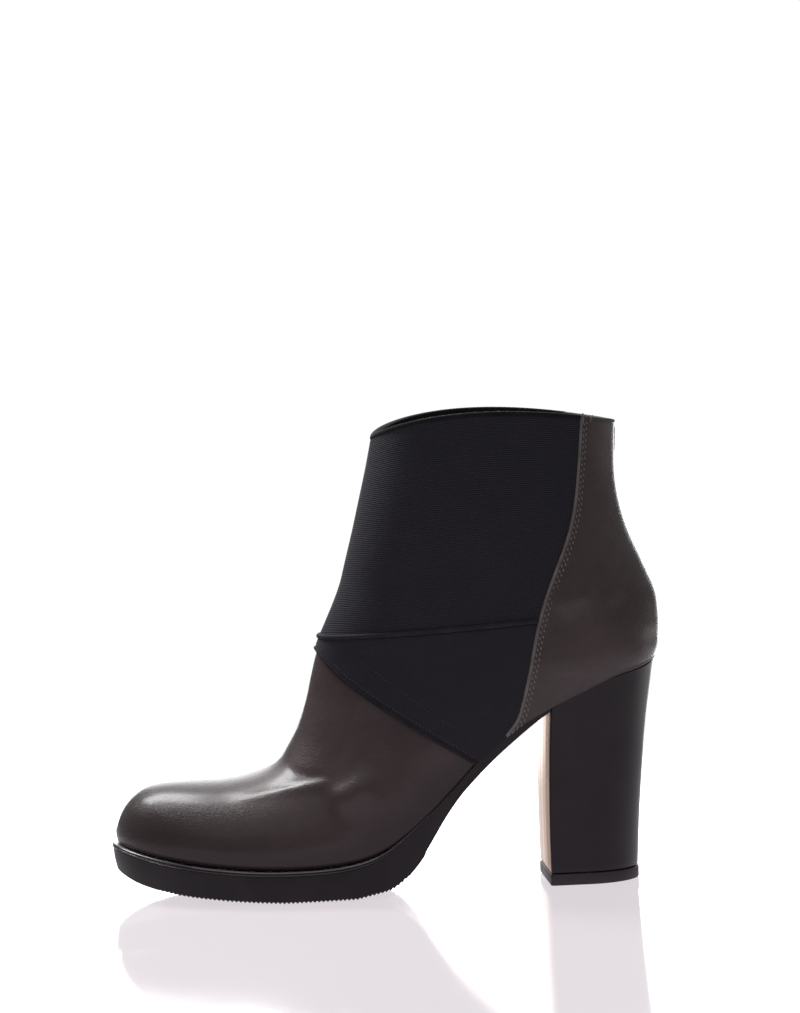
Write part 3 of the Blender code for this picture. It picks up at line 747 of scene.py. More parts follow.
def elastic_finish(name, colour, crest_light_colour, pitch, strength=1.0):
    """Ribbed elastic: fine cords side by side, each wrapped by crossing yarns."""
    finish = Finish(name)
    rib = finish.measure("rib")
    run = finish.measure("run")
    wave = (rib * (2 * np.pi / pitch)).sine()
    cross = (run * (2 * np.pi / (pitch * 0.9)) + wave * 0.8).sine()
    fuzz = finish.noise(0.6, 3, 0.6)
    patch = finish.noise(18, 3)
    # painted highlight and shade: the colour is lighter on the crests of the ribs and crossing yarns and
    # darker in the grooves between them, mixed with random yarn tone
    crest_light_and_yarn = (wave * (0.5 * strength) + cross * 0.10 + (fuzz - 0.5) * 0.9).between(-0.55, 0.75)
    base = finish.blend(crest_light_and_yarn * (0.55 + patch * 0.6), colour, crest_light_colour)
    return finish.dress(
        base_color=base,
        roughness=0.82 + (fuzz - 0.5) * 0.2,
        specular=0.14,
        sheen_weight=0.06,
        sheen_roughness=0.4,
        normal=finish.relief(wave * (0.5 * strength) + cross * 0.1 + fuzz * 0.4, 0.3, 0.6),
    )


def trim_finish(name, colour, weave=0.7):
    """Woven binding tape."""
    finish = Finish(name)
    yarn = finish.noise(weave, 3, 0.6)
    patch = finish.noise(9, 2)
    base = finish.mottled((yarn * 0.6 + patch * 0.4).between(0.35, 0.65), colour, 0.7, 1.35)
    return finish.dress(
        base_color=base,
        roughness=0.78 + (yarn - 0.5) * 0.2,
        specular=0.14,
        normal=finish.relief(yarn, 0.22, 0.7),
    )


def thread_finish(name, colour):
    """Twisted sewing thread."""
    finish = Finish(name)
    twist = finish.noise(0.35, 2)
    base = finish.mottled(twist.between(0.35, 0.65), colour, 0.75, 1.15)
    return finish.dress(base_color=base, roughness=0.6 + twist * 0.15, specular=0.35)


def rubber_finish(name, colour, roughness, specular, coat=0.0):
    """Moulded rubber with a fine mould texture, waxed or bare."""
    finish = Finish(name)
    mould = finish.noise(0.9, 4, 0.6)
    patch = finish.noise(16, 3)
    base = finish.mottled((patch * 0.7 + mould * 0.3).between(0.35, 0.68), colour, 0.85, 1.25)
    return finish.dress(
        base_color=base,
        roughness=roughness + (mould - 0.5) * 0.16 + (patch - 0.5) * 0.12,
        specular=specular,
        coat_weight=coat,
        coat_roughness=0.2,
        normal=finish.relief(mould, 0.08, 0.4),
    )


def breast_finish(name, colour):
    """Polished face with faint upright streaks."""
    finish = Finish(name)
    streak = finish.streaks((130.0, 130.0, 3.0))
    base = finish.mottled(streak.between(0.3, 0.7), colour, 0.8, 1.6)
    return finish.dress(
        base_color=base,
        metallic=1.0,
        roughness=0.08 + streak * 0.26,
        specular_tint=(0.93, 0.735, 0.61, 1.0),
        normal=finish.relief(streak, 0.3, 0.5),
    )


def lining_finish(name, colour):
    """Fine textile lining."""
    finish = Finish(name)
    weave = finish.noise(0.8, 3, 0.65)
    patch = finish.noise(22, 3)
    base = finish.mottled((weave * 0.5 + patch * 0.5).between(0.35, 0.65), colour, 0.82, 1.15)
    return finish.dress(
        base_color=base,
        roughness=0.85 + (weave - 0.5) * 0.15,
        specular=0.25,
        normal=finish.relief(weave, 0.15, 0.6),
    )


# The floor: where it starts to fade and its radius in metres, then its glow, mirror share and tint
FLOOR_SHARP = 0.30
FLOOR_RADIUS = 0.60
FLOOR_GLOW = 0.84
FLOOR_SHEEN = 0.22
FLOOR_TINT = (1.0, 0.93, 0.985, 1.0)
# How far the floor lies under the tread, in metres
FLOOR_DROP = 0.0004


def floor_finish(name, colour):
    """Pale studio floor with a faint sheen that fades into the background."""
    finish = Finish(name)
    apart = finish.node("ShaderNodeVectorMath", {"operation": "LENGTH"}, {0: finish.place}, output="Value")
    fade = apart.between(FLOOR_SHARP, FLOOR_RADIUS)
    grain = finish.noise(60, 2)
    base = finish.mottled(grain.between(0.3, 0.7), colour, 0.985, 1.0)
    finish.dress(
        base_color=base,
        roughness=0.9,
        specular=0.0,
        emission_color=FLOOR_TINT,
        emission_strength=FLOOR_GLOW,
    )
    gloss = finish.node("ShaderNodeBsdfGlossy", {}, {"Color": (1, 1, 1, 1), "Roughness": 0.06})
    body = Shade(finish, finish.shader.outputs[0])
    sheen = finish.node("ShaderNodeMixShader", {}, {0: FLOOR_SHEEN, 1: body, 2: gloss})
    clear = finish.node("ShaderNodeBsdfTransparent")
    shown = finish.node("ShaderNodeMixShader", {}, {0: fade, 1: sheen, 2: clear})
    finish.feed(finish.tree.nodes["Material Output"].inputs["Surface"], shown)
    return finish.material


def size_property(name, description, default):
    return FloatProperty(
        name=name, description=description, default=default, min=0.0, unit="LENGTH", precision=5
    )


def colour_property(name, description, default):
    return FloatVectorProperty(
        name=name, description=description, default=(*default, 1.0), size=4, min=0.0, max=1.0, subtype="COLOR"
    )


class BootSizes(bpy.types.PropertyGroup):
    """Sizes of the boot's small details."""

    stitch_pitch: size_property("Stitch pitch", "Length of one stitch with its gap", 0.0025)
    stitch_length: size_property("Stitch length", "Visible length of one thread", 0.0018)
    stitch_width: size_property("Stitch width", "Thickness of the sewing thread", 0.00065)
    stitch_first: size_property("First row", "Distance of the first stitch row from a cut edge", 0.0019)
    stitch_second: size_property("Second row", "Distance of the second stitch row from a cut edge", 0.0032)
    rib_pitch: size_property("Band rib pitch", "Distance between ribs of the ankle band", 0.00087)
    gusset_pitch: size_property("Gusset rib pitch", "Distance between ribs of the gussets", 0.0008)
    hem_height: size_property("Hem height", "Height of the rolled hem of the band", 0.0024)
    binding_width: size_property("Binding width", "Width of the bound edge of the gussets", 0.0019)
    tread_pitch: size_property("Tread pitch", "Distance between the tread's teeth", 0.00185)
    tread_depth: size_property("Tread depth", "Depth of the tread's teeth", 0.001)
    grain: size_property("Leather grain", "Size of the leather's pores", 0.0006)


class BootColours(bpy.types.PropertyGroup):
    """Colours of the boot's finishes."""

    leather: colour_property("Leather", "Smooth leather of the vamp", (0.052, 0.0355, 0.0378))
    counter: colour_property("Counter", "Smooth leather of the counter", (0.0570, 0.0418, 0.0428))
    raw_edge: colour_property("Cut edge", "Cut edge of the counter", (0.128, 0.110, 0.105))
    thread: colour_property("Thread", "Sewing thread of the counter", (0.158, 0.142, 0.130))
    dot_thread: colour_property("Gusset thread", "Sewing thread of the gussets", (0.044, 0.041, 0.048))
    # The elastic's two colours: the darker one in the grooves is painted shade, the lighter one on the rib
    # crests is painted highlight
    elastic: colour_property("Elastic", "Grooves of the elastic", (0.0130, 0.0118, 0.0160))
    elastic_crest_light: colour_property("Elastic ribs", "Ribs of the elastic", (0.0355, 0.0320, 0.0430))
    binding: colour_property("Binding", "Bound edges of the elastic", (0.0122, 0.0104, 0.0138))
    sole: colour_property("Sole", "Moulded sole", (0.0130, 0.0093, 0.0123))
    # painted highlight: the lip edge colour is a light line painted along the lip's upper edge in place of
    # the light it catches
    painted_lip_highlight: colour_property("Lip edge", "Worn line on the lip of the sole", (0.135, 0.122, 0.127))
    heel: colour_property("Heel", "Sides of the heel", (0.0108, 0.0062, 0.0098))
    breast: colour_property("Heel breast", "Polished front of the heel", (0.040, 0.031, 0.029))
    lift: colour_property("Top lift", "Wear piece under the heel", (0.0265, 0.0178, 0.0240))
    lining: colour_property("Lining", "Lining of the upper", (0.06, 0.05, 0.046))
    insole: colour_property("Insole", "Insole cover", (0.12, 0.095, 0.078))
    floor: colour_property("Floor", "Studio floor", (0.14, 0.14, 0.14))


def add_piece(name, shape, finishes, labels=None, sharp=None, values=None, replaced=()):
    """Make one piece of the boot from points in millimetres and faces, and put it on the frame."""
    points, faces = shape
    mesh = bpy.data.meshes.new(name)
    mesh.from_pydata((points * MM).tolist(), [], [list(dict.fromkeys(face)) for face in faces.tolist()])
    for finish in finishes:
        mesh.materials.append(finish)
    if labels is not None:
        mesh.polygons.foreach_set("material_index", np.asarray(labels, np.int32))
    mesh.shade_smooth()
    if sharp:
        mesh.set_sharp_from_angle(angle=np.radians(sharp))
    for key, numbers in (values or {}).items():
        mesh.attributes.new(key, "FLOAT", "POINT").data.foreach_set("value", np.asarray(numbers, np.float32))
    piece = bpy.data.objects.new(name, mesh)
    bpy.context.scene.collection.objects.link(piece)
    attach(piece, "root")
    if replaced:
        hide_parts(*replaced)
    return piece


def surface_path(path, side, height=0.0):
    """Points a height above the surface along places and shares, and their outward directions."""
    up = last_normals(path[:, 0], path[:, 1], side)
    return last_surface(path[:, 0], path[:, 1], side) + up * height, up


def over_ridge(path, height=0.0):
    """A path that starts at the ridge, run from its outer end over the ridge to its inner end."""
    outer, outer_up = surface_path(path, -1, height)
    inner, inner_up = surface_path(path, 1, height)
    middle_up = unit(outer_up[:1] + inner_up[:1])
    middle = last_surface(path[:1, 0], path[:1, 1], -1) + middle_up * height
    points = np.concatenate([outer[:0:-1], middle, inner[1:]])
    return points, np.concatenate([outer_up[:0:-1], middle_up, inner_up[1:]])


def shifted(path, side, distance):
    """A path moved sideways over the surface, as places and shares."""
    points, up = surface_path(path, side)
    moved = points + np.cross(unit(np.gradient(points, axis=0)), up) * distance
    place, along = places_of(moved[:, 0], moved[:, 2])
    return np.stack([place, along], -1)


def crease_heights(creases, points, on_outer):
    """Height of the listed creases at points of the upper or of the counter."""
    total = np.zeros(len(points))
    for crease in creases:
        line = seam_curve(np.array(crease.path), 70)
        place, along = places_of(line[:, 0], line[:, 1])
        for side in SIDES:
            middle = last_surface(place, along, side)
            apart = np.linalg.norm(points[:, None] - middle[None], axis=2)
            nearest = np.argmin(apart, axis=1)
            share = nearest / (len(line) - 1)
            taper = smooth_step(0, crease.fade_in, share) * smooth_step(0, crease.fade_out, 1 - share)
            swell = hump(apart.min(axis=1), 0, crease.width)
            amount = crease.height * (1 if side < 0 else INNER_CREASE_SHARE)
            total += np.where(on_outer == (side < 0), amount * taper * swell, 0)
    return total


class BOOT_OT_upper(bpy.types.Operator):
    """Leather upper with its creases, turned in at the sole, and its lining"""

    bl_idname = "boot.upper"
    bl_label = "Upper"

    def execute(self, context):
        colours = context.scene.boot_colours
        grain = context.scene.boot_sizes.grain / MM
        toe = ROW["toe_root"] * np.linspace(0, 1, 46) ** 2
        body = np.arange(ROW["toe_root"] + 0.07, ROW["waist_high"] + 1, 0.07)
        shaft = np.linspace(body[-1] + 0.15, ROW["collar"], 60)
        places = np.concatenate([toe, body, shaft])
        count = 64
        rows = []
        below = []
        for place in places:
            row = []
            drop = []
            for side in SIDES:
                shares, length = section_shares(place, 0, 1, side, count)
                points = last_surface(np.full(count, place), shares, side)
                to_end = np.linspace(length, 0, count)
                row.append(points[::-1] if side < 0 else points[1:])
                drop.append(to_end[::-1] if side < 0 else to_end[1:])
            rows.append(np.concatenate(row))
            below.append(np.concatenate(drop))
        points = np.concatenate(rows)
        faces = grid_faces(len(places), 2 * count - 1)
        place = np.repeat(places, 2 * count - 1)
        on_outer = np.tile(np.arange(2 * count - 1) < count, len(places))
        points, faces, place, drop, on_outer = weld(points, faces, place, np.concatenate(below), on_outer)
        faces = facing_out(points, faces)
        turned_in = 0.25 + 0.75 * smooth_step(0.6, 3, place)
        tuck = 0.9 * turned_in * hump(drop, 0, 1.4) * (1 - smooth_step(6.5, 10, place))
        edge_x = np.interp(points[:, 2], COUNTER_EDGE[:, 1], COUNTER_EDGE[:, 0])
        covered = 0.9 * smooth_step(3, 9, points[:, 0] - edge_x)
        fullness = 0.6 * (1 - smooth_step(0.5, 3, place)) * smooth_step(-2, 4, drop)
        height = crease_heights(CREASES, points, on_outer) + fullness - tuck - covered
        shape, every, labels = closed_skin(points, faces, height, height - WALL)
        finishes = [
            leather_finish("vamp_leather", colours.leather, grain),
            lining_finish("lining_cloth", colours.lining),
            raw_edge_finish("upper_edge", colours.raw_edge),
        ]
        # painted shade: the leather is painted darker at the toe tip and along its lower edge next to the
        # sole
        toe_painted_shade = 0.8 * (1 - smooth_step(2.2, 5, place))
        sole_painted_shade = 0.85 * hump(drop, 0, 13) * (1 - smooth_step(10, 13, place))
        values = {"painted_shade": np.tile(np.maximum(toe_painted_shade, sole_painted_shade), 2)}
        add_piece("upper_leather", (shape, every), finishes, labels, None, values, ["upper"])
        return {"FINISHED"}


def band_patch(rows, columns):
    """Places and shares of one side of the band, from hem to collar and from ridge to counter."""
    low = band_path()
    start, corner = low[0], low[-1]
    side_edge = counter_path(-np.inf, np.inf)
    side_edge = side_edge[side_edge[:, 0] > corner[0]]
    side_edge = np.vstack([corner, side_edge[side_edge[:, 0] < ROW["collar"] - 1e-3]])
    end_along = side_edge[-1, 1]
    side_edge = np.vstack([side_edge, (ROW["collar"], end_along)])
    top = np.stack([np.full(160, ROW["collar"]), end_along * np.linspace(0, 1, 160) ** 2], -1)
    ridge = np.stack([np.linspace(start[0], ROW["collar"], 80), np.zeros(80)], -1)
    return coons(
        by_length(low, -1, columns),
        by_length(top, -1, columns),
        by_length(ridge, -1, rows),
        by_length(side_edge, -1, rows),
    )


class BOOT_OT_elastic_band(bpy.types.Operator):
    """Ribbed ankle band with a rolled hem below and a bound edge at the collar"""

    bl_idname = "boot.elastic_band"
    bl_label = "Elastic band"

    def execute(self, context):
        colours = context.scene.boot_colours
        sizes = context.scene.boot_sizes
        rows, columns = 100, 90
        patch = band_patch(rows, columns)
        outer = last_surface(patch[..., 0], patch[..., 1], -1)
        inner = last_surface(patch[..., 0], patch[..., 1], 1)
        points = np.concatenate([outer[:, :0:-1], inner], axis=1)
        width = 2 * columns - 1
        tall = np.linalg.norm(np.diff(outer, axis=0), axis=2).sum(axis=0).mean()
        rib = np.repeat(np.linspace(0, tall, rows), width)
        wide = np.linalg.norm(np.diff(points, axis=1), axis=2).sum(axis=1).mean()
        run = np.tile(np.linspace(0, wide, width), rows)
        points = points.reshape(-1, 3)
        faces = facing_out(points, grid_faces(rows, width))
        skin, every, _ = closed_skin(points, faces, ELASTIC_TOP, CLEARANCE)
        values = {"rib": np.tile(rib, 2), "run": np.tile(run, 2)}
        pitch = sizes.rib_pitch / MM
        cloth = elastic_finish("band_elastic", colours.elastic, colours.elastic_crest_light, pitch, strength=1.4)
        add_piece("band_cloth", (skin, every), [cloth], values=values, replaced=["elastic_band"])
        trim = trim_finish("elastic_trim", tint(colours.binding, 0.65))
        self.add_hem(sizes.hem_height / MM, trim_finish("hem_roll", tint(colours.binding, 1.75)))
        self.add_collar(patch[-1], trim)
        return {"FINISHED"}

    def add_hem(self, tall, trim):
        path, up = over_ridge(by_length(band_path(), -1, 140))
        angle = np.linspace(0, np.pi, 11)
        arch = [(tall / 2 - tall / 2 * np.cos(turn), 0.9 + 1.45 * np.sin(turn) ** 0.9) for turn in angle]
        profile = [(0.1, 0.25), *arch, (tall - 0.1, 0.25)]
        add_piece("band_hem", swept_trim(path, up, profile), [trim], sharp=50)

    def add_collar(self, edge, trim):
        path, up = over_ridge(edge)
        profile = [
            (-1.65, 1.25), (-1.4, 1.5), (-0.6, 1.55), (0.05, 1.45), (0.45, 1.1),
            (0.62, 0.2), (0.6, -1.2), (0.45, -1.9), (0.1, -2.15), (-1.6, -2.1),
        ]
        add_piece("collar_binding", swept_trim(path, up, profile), [trim], sharp=50)


class BOOT_OT_gussets(bpy.types.Operator):
    """Ribbed elastic gores at both sides with bound edges over the vamp"""

    bl_idname = "boot.gussets"
    bl_label = "Gussets"

    def execute(self, context):
        colours = context.scene.boot_colours
        sizes = context.scene.boot_sizes
        pitch = sizes.gusset_pitch / MM
        cloth = elastic_finish("gusset_elastic", colours.elastic, colours.elastic_crest_light, pitch, strength=0.4)
        trim = trim_finish("gusset_binding", tint(colours.binding, 1.35))
        for side in SIDES:
            self.add_gusset(side, cloth)
            self.add_binding(side, sizes.binding_width / MM, trim)
        return {"FINISHED"}

    def add_gusset(self, side, cloth):
        low = vamp_path()
        high = band_path()
        edge = counter_path(-np.inf, np.inf)
        edge = edge[edge[:, 0] < high[-1, 0] - 1e-3]
        edge[0, 1] = 1
        edge = np.vstack([edge, high[-1]])
        feather = np.stack([np.linspace(low[-1, 0], edge[0, 0], 30), np.ones(30)], -1)
        bottom = np.vstack([by_length(low, side, 160), by_length(feather, side, 40)[1:]])
        left = np.stack([np.linspace(low[0, 0], high[0, 0], 20), np.zeros(20)], -1)
        rows, columns = 70, 110
        patch = coons(
            by_length(bottom, side, columns),
            by_length(high, side, columns),
            by_length(left, side, rows),
            by_length(edge, side, rows),
        )
        patch[..., 1] = np.clip(patch[..., 1], 0, 1)
        points = last_surface(patch[..., 0], patch[..., 1], side).reshape(-1, 3)
        faces = facing_out(points, grid_faces(rows, columns))
        skin, every, _ = closed_skin(points, faces, ELASTIC_TOP, CLEARANCE)
        lean = np.radians(RIB_LEAN)
        rib = points[:, 0] * np.sin(lean) + points[:, 2] * np.cos(lean)
        run = points[:, 0] * np.cos(lean) - points[:, 2] * np.sin(lean)
        values = {"rib": np.tile(rib, 2), "run": np.tile(run, 2)}
        name = "gusset_" + SIDE_NAMES[side]
        add_piece("cloth_" + name, (skin, every), [cloth], values=values, replaced=[name])

    def add_binding(self, side, wide, trim):
        path, up = surface_path(by_length(vamp_path(), side, 120), side)
        if side < 0:
            path, up = path[::-1], up[::-1]
        angle = np.linspace(0, np.pi, 9)
        arch = [(wide / 2 - wide / 2 * np.cos(turn) - 0.3, 0.5 + 1.2 * np.sin(turn) ** 0.7) for turn in angle]
        profile = [(-0.2, 0.0), *arch, (wide - 0.4, 0.0)]
        name = "gusset_binding_" + SIDE_NAMES[side]
        add_piece(name, swept_trim(path, up, profile), [trim], sharp=50)


class BOOT_OT_counter(bpy.types.Operator):
    """Leather counter round the heel with its cut edges and the strip at the back"""

    bl_idname = "boot.counter"
    bl_label = "Counter"

    def execute(self, context):
        colours = context.scene.boot_colours
        grain = context.scene.boot_sizes.grain / MM
        edge = counter_path(-np.inf, np.inf)
        edge[0, 1] = 1
        low_place = edge[0, 0]
        seat = low_place + (ROW["heel_back"] - low_place) * np.linspace(0, 1, 56) ** 1.4
        shaft = np.linspace(ROW["heel_back"], ROW["collar"], 76)[1:]
        places = np.concatenate([seat[1:], shaft])
        starts = np.interp(places, edge[:, 0], edge[:, 1])
        count = 56
        near = (0, 0.5, 1.1, 1.7, 2.3, 3.0, 3.8, 4.8)
        rows = []
        for place, start in zip(places, starts):
            row = []
            for side in SIDES:
                shares, _ = section_shares(place, start, 1, side, count, near)
                points = last_surface(np.full(count, place), shares, side)
                row.append(points if side < 0 else points[::-1])
            rows.append(np.concatenate(row))
        at_foot = np.abs(np.arange(2 * count) - count + 0.5) < 1
        foot = np.concatenate([at_foot & (place < ROW["heel_back"] + 1e-6) for place in places])
        faces = grid_faces(len(places), 2 * count)
        middle = np.arange(len(faces)) % (2 * count - 1) == count - 1
        closed_from = np.searchsorted(places, ROW["heel_back"] - 1e-6)
        row_of = np.arange(len(faces)) // (2 * count - 1)
        faces = faces[~(middle & (row_of < closed_from))]
        place = np.repeat(places, 2 * count)
        points, faces, place, foot = weld(np.concatenate(rows), faces, place, foot)
        faces = facing_out(points, faces)
        amount = smooth_step(13.6, 15.2, place) * (1 - smooth_step(16.8, 18.2, place))
        points = softened(points, faces, amount, 40)
        points[:, 2] -= SKIRT * foot * smooth_step(67, 74, points[:, 0])
        change = self.fullness(points, foot) + crease_heights(COUNTER_CREASES, points, points[:, 1] < 0)
        skin, every, labels = closed_skin(points, faces, COUNTER_TOP + change, CLEARANCE + change)
        finishes = [
            leather_finish("counter_leather", colours.counter, grain),
            raw_edge_finish("counter_back", colours.raw_edge),
            raw_edge_finish("counter_cut", colours.raw_edge),
        ]
        add_piece("counter_leather", (skin, every), finishes, labels, replaced=["counter"])
        raw = finishes[2]
        for side in SIDES:
            self.add_cut_edge(edge, side, raw)
        self.add_top_edge(edge[-1, 1], raw_edge_finish("counter_top_cut", tint(colours.raw_edge, 0.4)))
        self.add_back_strip(raw)
        return {"FINISHED"}

    def fullness(self, points, foot):
        """Heights that fill the counter's back over the heel and hollow it under the ankle."""
        x, _, z = points.T
        seam = points[foot > 0]
        seam = seam[np.argsort(seam[:, 0])]
        rise = z - np.interp(x, seam[:, 0], seam[:, 2])
        low = 0.7 * hump(rise, 5, 5) + 0.6 * hump(rise, 1.4, 1.1)
        full = 0.8 * hump(z, 111, 6) * smooth_step(100, 114, x) + low * (1 - foot) * smooth_step(98, 110, x)
        return full - 0.8 * hump(z, 132, 7) * smooth_step(92, 112, x)

    def add_cut_edge(self, edge, side, raw):
        path, up = surface_path(by_length(edge, side, 150), side)
        if side > 0:
            path, up = path[::-1], up[::-1]
        profile = [
            (1.2, 1.45), (0.95, 1.66), (0.5, 1.72), (0.1, 1.66),
            (-0.15, 1.4), (-0.25, 0.9), (-0.15, 0.3), (0.7, 0.3),
        ]
        name = "counter_edge_" + SIDE_NAMES[side]
        add_piece(name, swept_trim(path, up, profile), [raw], sharp=50)

    def add_top_edge(self, start, raw):
        shares = start + (1 - start) * (1 - np.linspace(1, 0, 70) ** 2)
        path = by_length(np.stack([np.full(70, ROW["collar"]), shares], -1), -1, 60)
        outer, outer_up = surface_path(path, -1)
        inner, inner_up = surface_path(path, 1)
        back_up = unit(outer_up[-1:] + inner_up[-1:])
        points = np.concatenate([inner[:-1], outer[-1:], outer[-2::-1]])
        up = np.concatenate([inner_up[:-1], back_up, outer_up[-2::-1]])
        profile = [
            (-1.1, 1.4), (-0.7, 1.66), (0.0, 1.62), (0.3, 1.35),
            (0.45, 0.9), (0.4, -1.5), (0.15, -1.85), (-1.0, -1.85),
        ]
        add_piece("counter_top_edge", swept_trim(points, up, profile), [raw], sharp=50)

    def add_back_strip(self, raw):
        places = np.linspace(ROW["collar"] - 0.08, ROW["shaft_high"] - 0.2, 40)
        points = last_surface(places, np.ones(40), -1)
        slope = unit(np.gradient(points, axis=0))
        up = unit(np.stack([-slope[:, 2], np.zeros(40), slope[:, 0]], -1))
        up = up * np.sign(up[:, :1])
        profile = [(-0.8, 1.3), (-0.75, 1.7), (-0.45, 1.95), (0.45, 1.95), (0.75, 1.7), (0.8, 1.3)]
        share = np.linspace(0, 1, 40)
        swell = 0.15 + 0.85 * smooth_step(0, 0.12, share) * smooth_step(0, 0.5, 1 - share)
        add_piece("back_strip", swept_trim(points, up, profile, swell), [raw], sharp=50)


def feather_edge(count, end_x):
    """Lower edge of the upper from toe tip to an x, as paired outer and inner points."""
    places = ROW["heel_back"] * np.linspace(0, 1, 2400) ** 1.6
    outer = last_surface(places, np.ones_like(places), -1)
    inside = outer[:, 0] <= end_x
    travel = travelled(outer[inside])
    chosen = np.interp(np.linspace(0, travel[-1], count), travel, places[inside])
    lower = np.ones_like(chosen)
    return last_surface(chosen, lower, -1), last_surface(chosen, lower, 1)


def plan_normals(outer, inner):
    """Outward directions of a paired outline in plan, at its outer and at its inner edge."""
    loop = np.concatenate([outer[:-1], inner[::-1][:-1]])[:, :2]
    run = np.roll(loop, -1, axis=0) - np.roll(loop, 1, axis=0)
    normal = unit(np.column_stack([run[:, 1], -run[:, 0]]))
    if normal[0, 0] > 0:
        normal = -normal
    count = len(outer)
    return normal[:count], np.concatenate([normal[:1], normal[count - 1 :][::-1]])


def offset_level(outer, inner, normals, distance, height):
    """The outline moved outwards in plan by a distance for each station, at a height for each."""
    level = []
    for edge, normal in zip((outer, inner), normals):
        moved = edge.copy()
        moved[:, :2] += normal * np.broadcast_to(distance, len(edge))[:, None]
        moved[:, 2] = height
        level.append(moved)
    return tuple(level)


class BOOT_OT_sole(bpy.types.Operator):
    """Platform sole with its lip, groove and toothed tread"""

    bl_idname = "boot.sole"
    bl_label = "Sole"

    def execute(self, context):
        colours = context.scene.boot_colours
        sizes = context.scene.boot_sizes
        end_x = HEEL_ROWS[-1].breast_x - CLEARANCE
        outer, inner = feather_edge(620, end_x)
        normals = plan_normals(outer, inner)
        underside, ledge, lip, slant = SOLE_CURVE(outer[:, 0]).T
        x = outer[:, 0]
        step = 0.45 * np.tanh((x - STEP_X) / 0.35) * (1 - smooth_step(15, 24, np.abs(x - STEP_X)))
        underside = np.maximum(underside + step, 0)
        pitch = sizes.tread_pitch / MM
        tooth = 2 * np.abs((x / pitch) % 1 - 0.5)
        treaded = smooth_step(*TREAD_START, x) * (1 - smooth_step(*TREAD_END, x))
        notch = tooth * treaded * sizes.tread_depth / MM
        ledge = ledge + TOE_LEDGE * (1 - smooth_step(TOE_TIP_X, TOE_TIP_X + 16, x))
        top = outer[:, 2] - CLEARANCE + (CLEARANCE + 0.5) * smooth_step(-6, 10, x)
        scale = lip / SOLE_ROWS[0].lip
        edge_in, hang = LIP_PROFILE[0]
        wall_top = top - hang * scale
        wall_low = np.minimum(underside + 1.2, wall_top - 0.05)
        room = wall_top - wall_low
        inset = edge_in * scale
        levels = [
            (ledge - slant - 2.0, underside + notch),
            (ledge - slant - 0.9, underside + notch),
            (ledge - slant - 0.35, underside + 0.25 + notch * 0.75),
            (ledge - slant - 0.08, underside + 0.65 + notch * 0.35),
            (ledge - slant, wall_low),
        ]
        for share in (0.2, 0.4, 0.6, 0.8):
            bulge = 0.25 * np.sin(np.pi * share) * smooth_step(1, 6, room)
            levels.append((ledge - slant + (slant - inset) * share + bulge, wall_low + room * share))
        for inward, drop in LIP_PROFILE:
            levels.append((ledge - inward * scale, top - drop * scale))
        levels.append((np.minimum(ledge - 3.2, -1.2), top - 0.35))
        stack = [offset_level(outer, inner, normals, distance, height) for distance, height in levels]
        for edge in [edge for level in stack for edge in level]:
            edge[-1, 0] = end_x
        points, faces, _ = stacked(stack)
        rubber = rubber_finish("sole_rubber", colours.sole, roughness=0.46, specular=0.2)
        lip_rubber = rubber_finish("sole_lip", colours.sole, roughness=0.26, specular=0.5)
        # painted highlight: a light line painted along the lip's upper edge
        painted_highlight = rubber_finish("painted_lip_highlight", colours.painted_lip_highlight, roughness=0.3, specular=0.5)
        lip_faces = self.lip_labels(points, faces, x, top, scale)
        finishes = [rubber, lip_rubber, painted_highlight]
        add_piece("sole_unit", (points, faces), finishes, lip_faces, 38, replaced=["sole"])
        return {"FINISHED"}

    def lip_labels(self, points, faces, x, top, scale):
        """1 for faces of the lip, 2 for the painted highlight line along its upper edge and 0 for the rest.
        """
        middle = points[faces].mean(axis=1)
        drop = (np.interp(middle[:, 0], x, top) - middle[:, 2]) / np.interp(middle[:, 0], x, scale)
        painted_highlight = (drop > 0.0) & (drop < 0.45) & (middle[:, 0] < LIP_HIGHLIGHT_END_X)
        return np.where(painted_highlight, 2, (drop < 2.0).astype(int))


def heel_outline(level, grow):
    """Paired edges of the heel in plan: flat breast, rounded corners, straight sides and round back."""
    breast, back, half_width, rounding = HEEL_CURVE(level)[0]
    corner = HEEL_CORNER
    turn = np.linspace(0, np.pi / 2, 6)
    share = 1 - (1 - np.linspace(0, 1, 44)) ** 2
    x = breast + corner + (back - breast - corner) * share
    half = half_width * round_over((back - x) / rounding)
    corner_x = breast + corner - corner * np.cos(turn)
    corner_half = half[0] - corner + corner * np.sin(turn)
    x = np.concatenate([corner_x[:-1], x])
    half = np.concatenate([corner_half[:-1], half])
    middle = (breast + back) / 2
    x = x + grow * np.clip((x - middle) / 12, -1, 1)
    half = half + grow * np.clip(half / 6, 0, 1)
    outer = np.column_stack([x, -half, np.zeros_like(x)])
    inner = np.column_stack([x, half, np.zeros_like(x)])
    return outer, inner


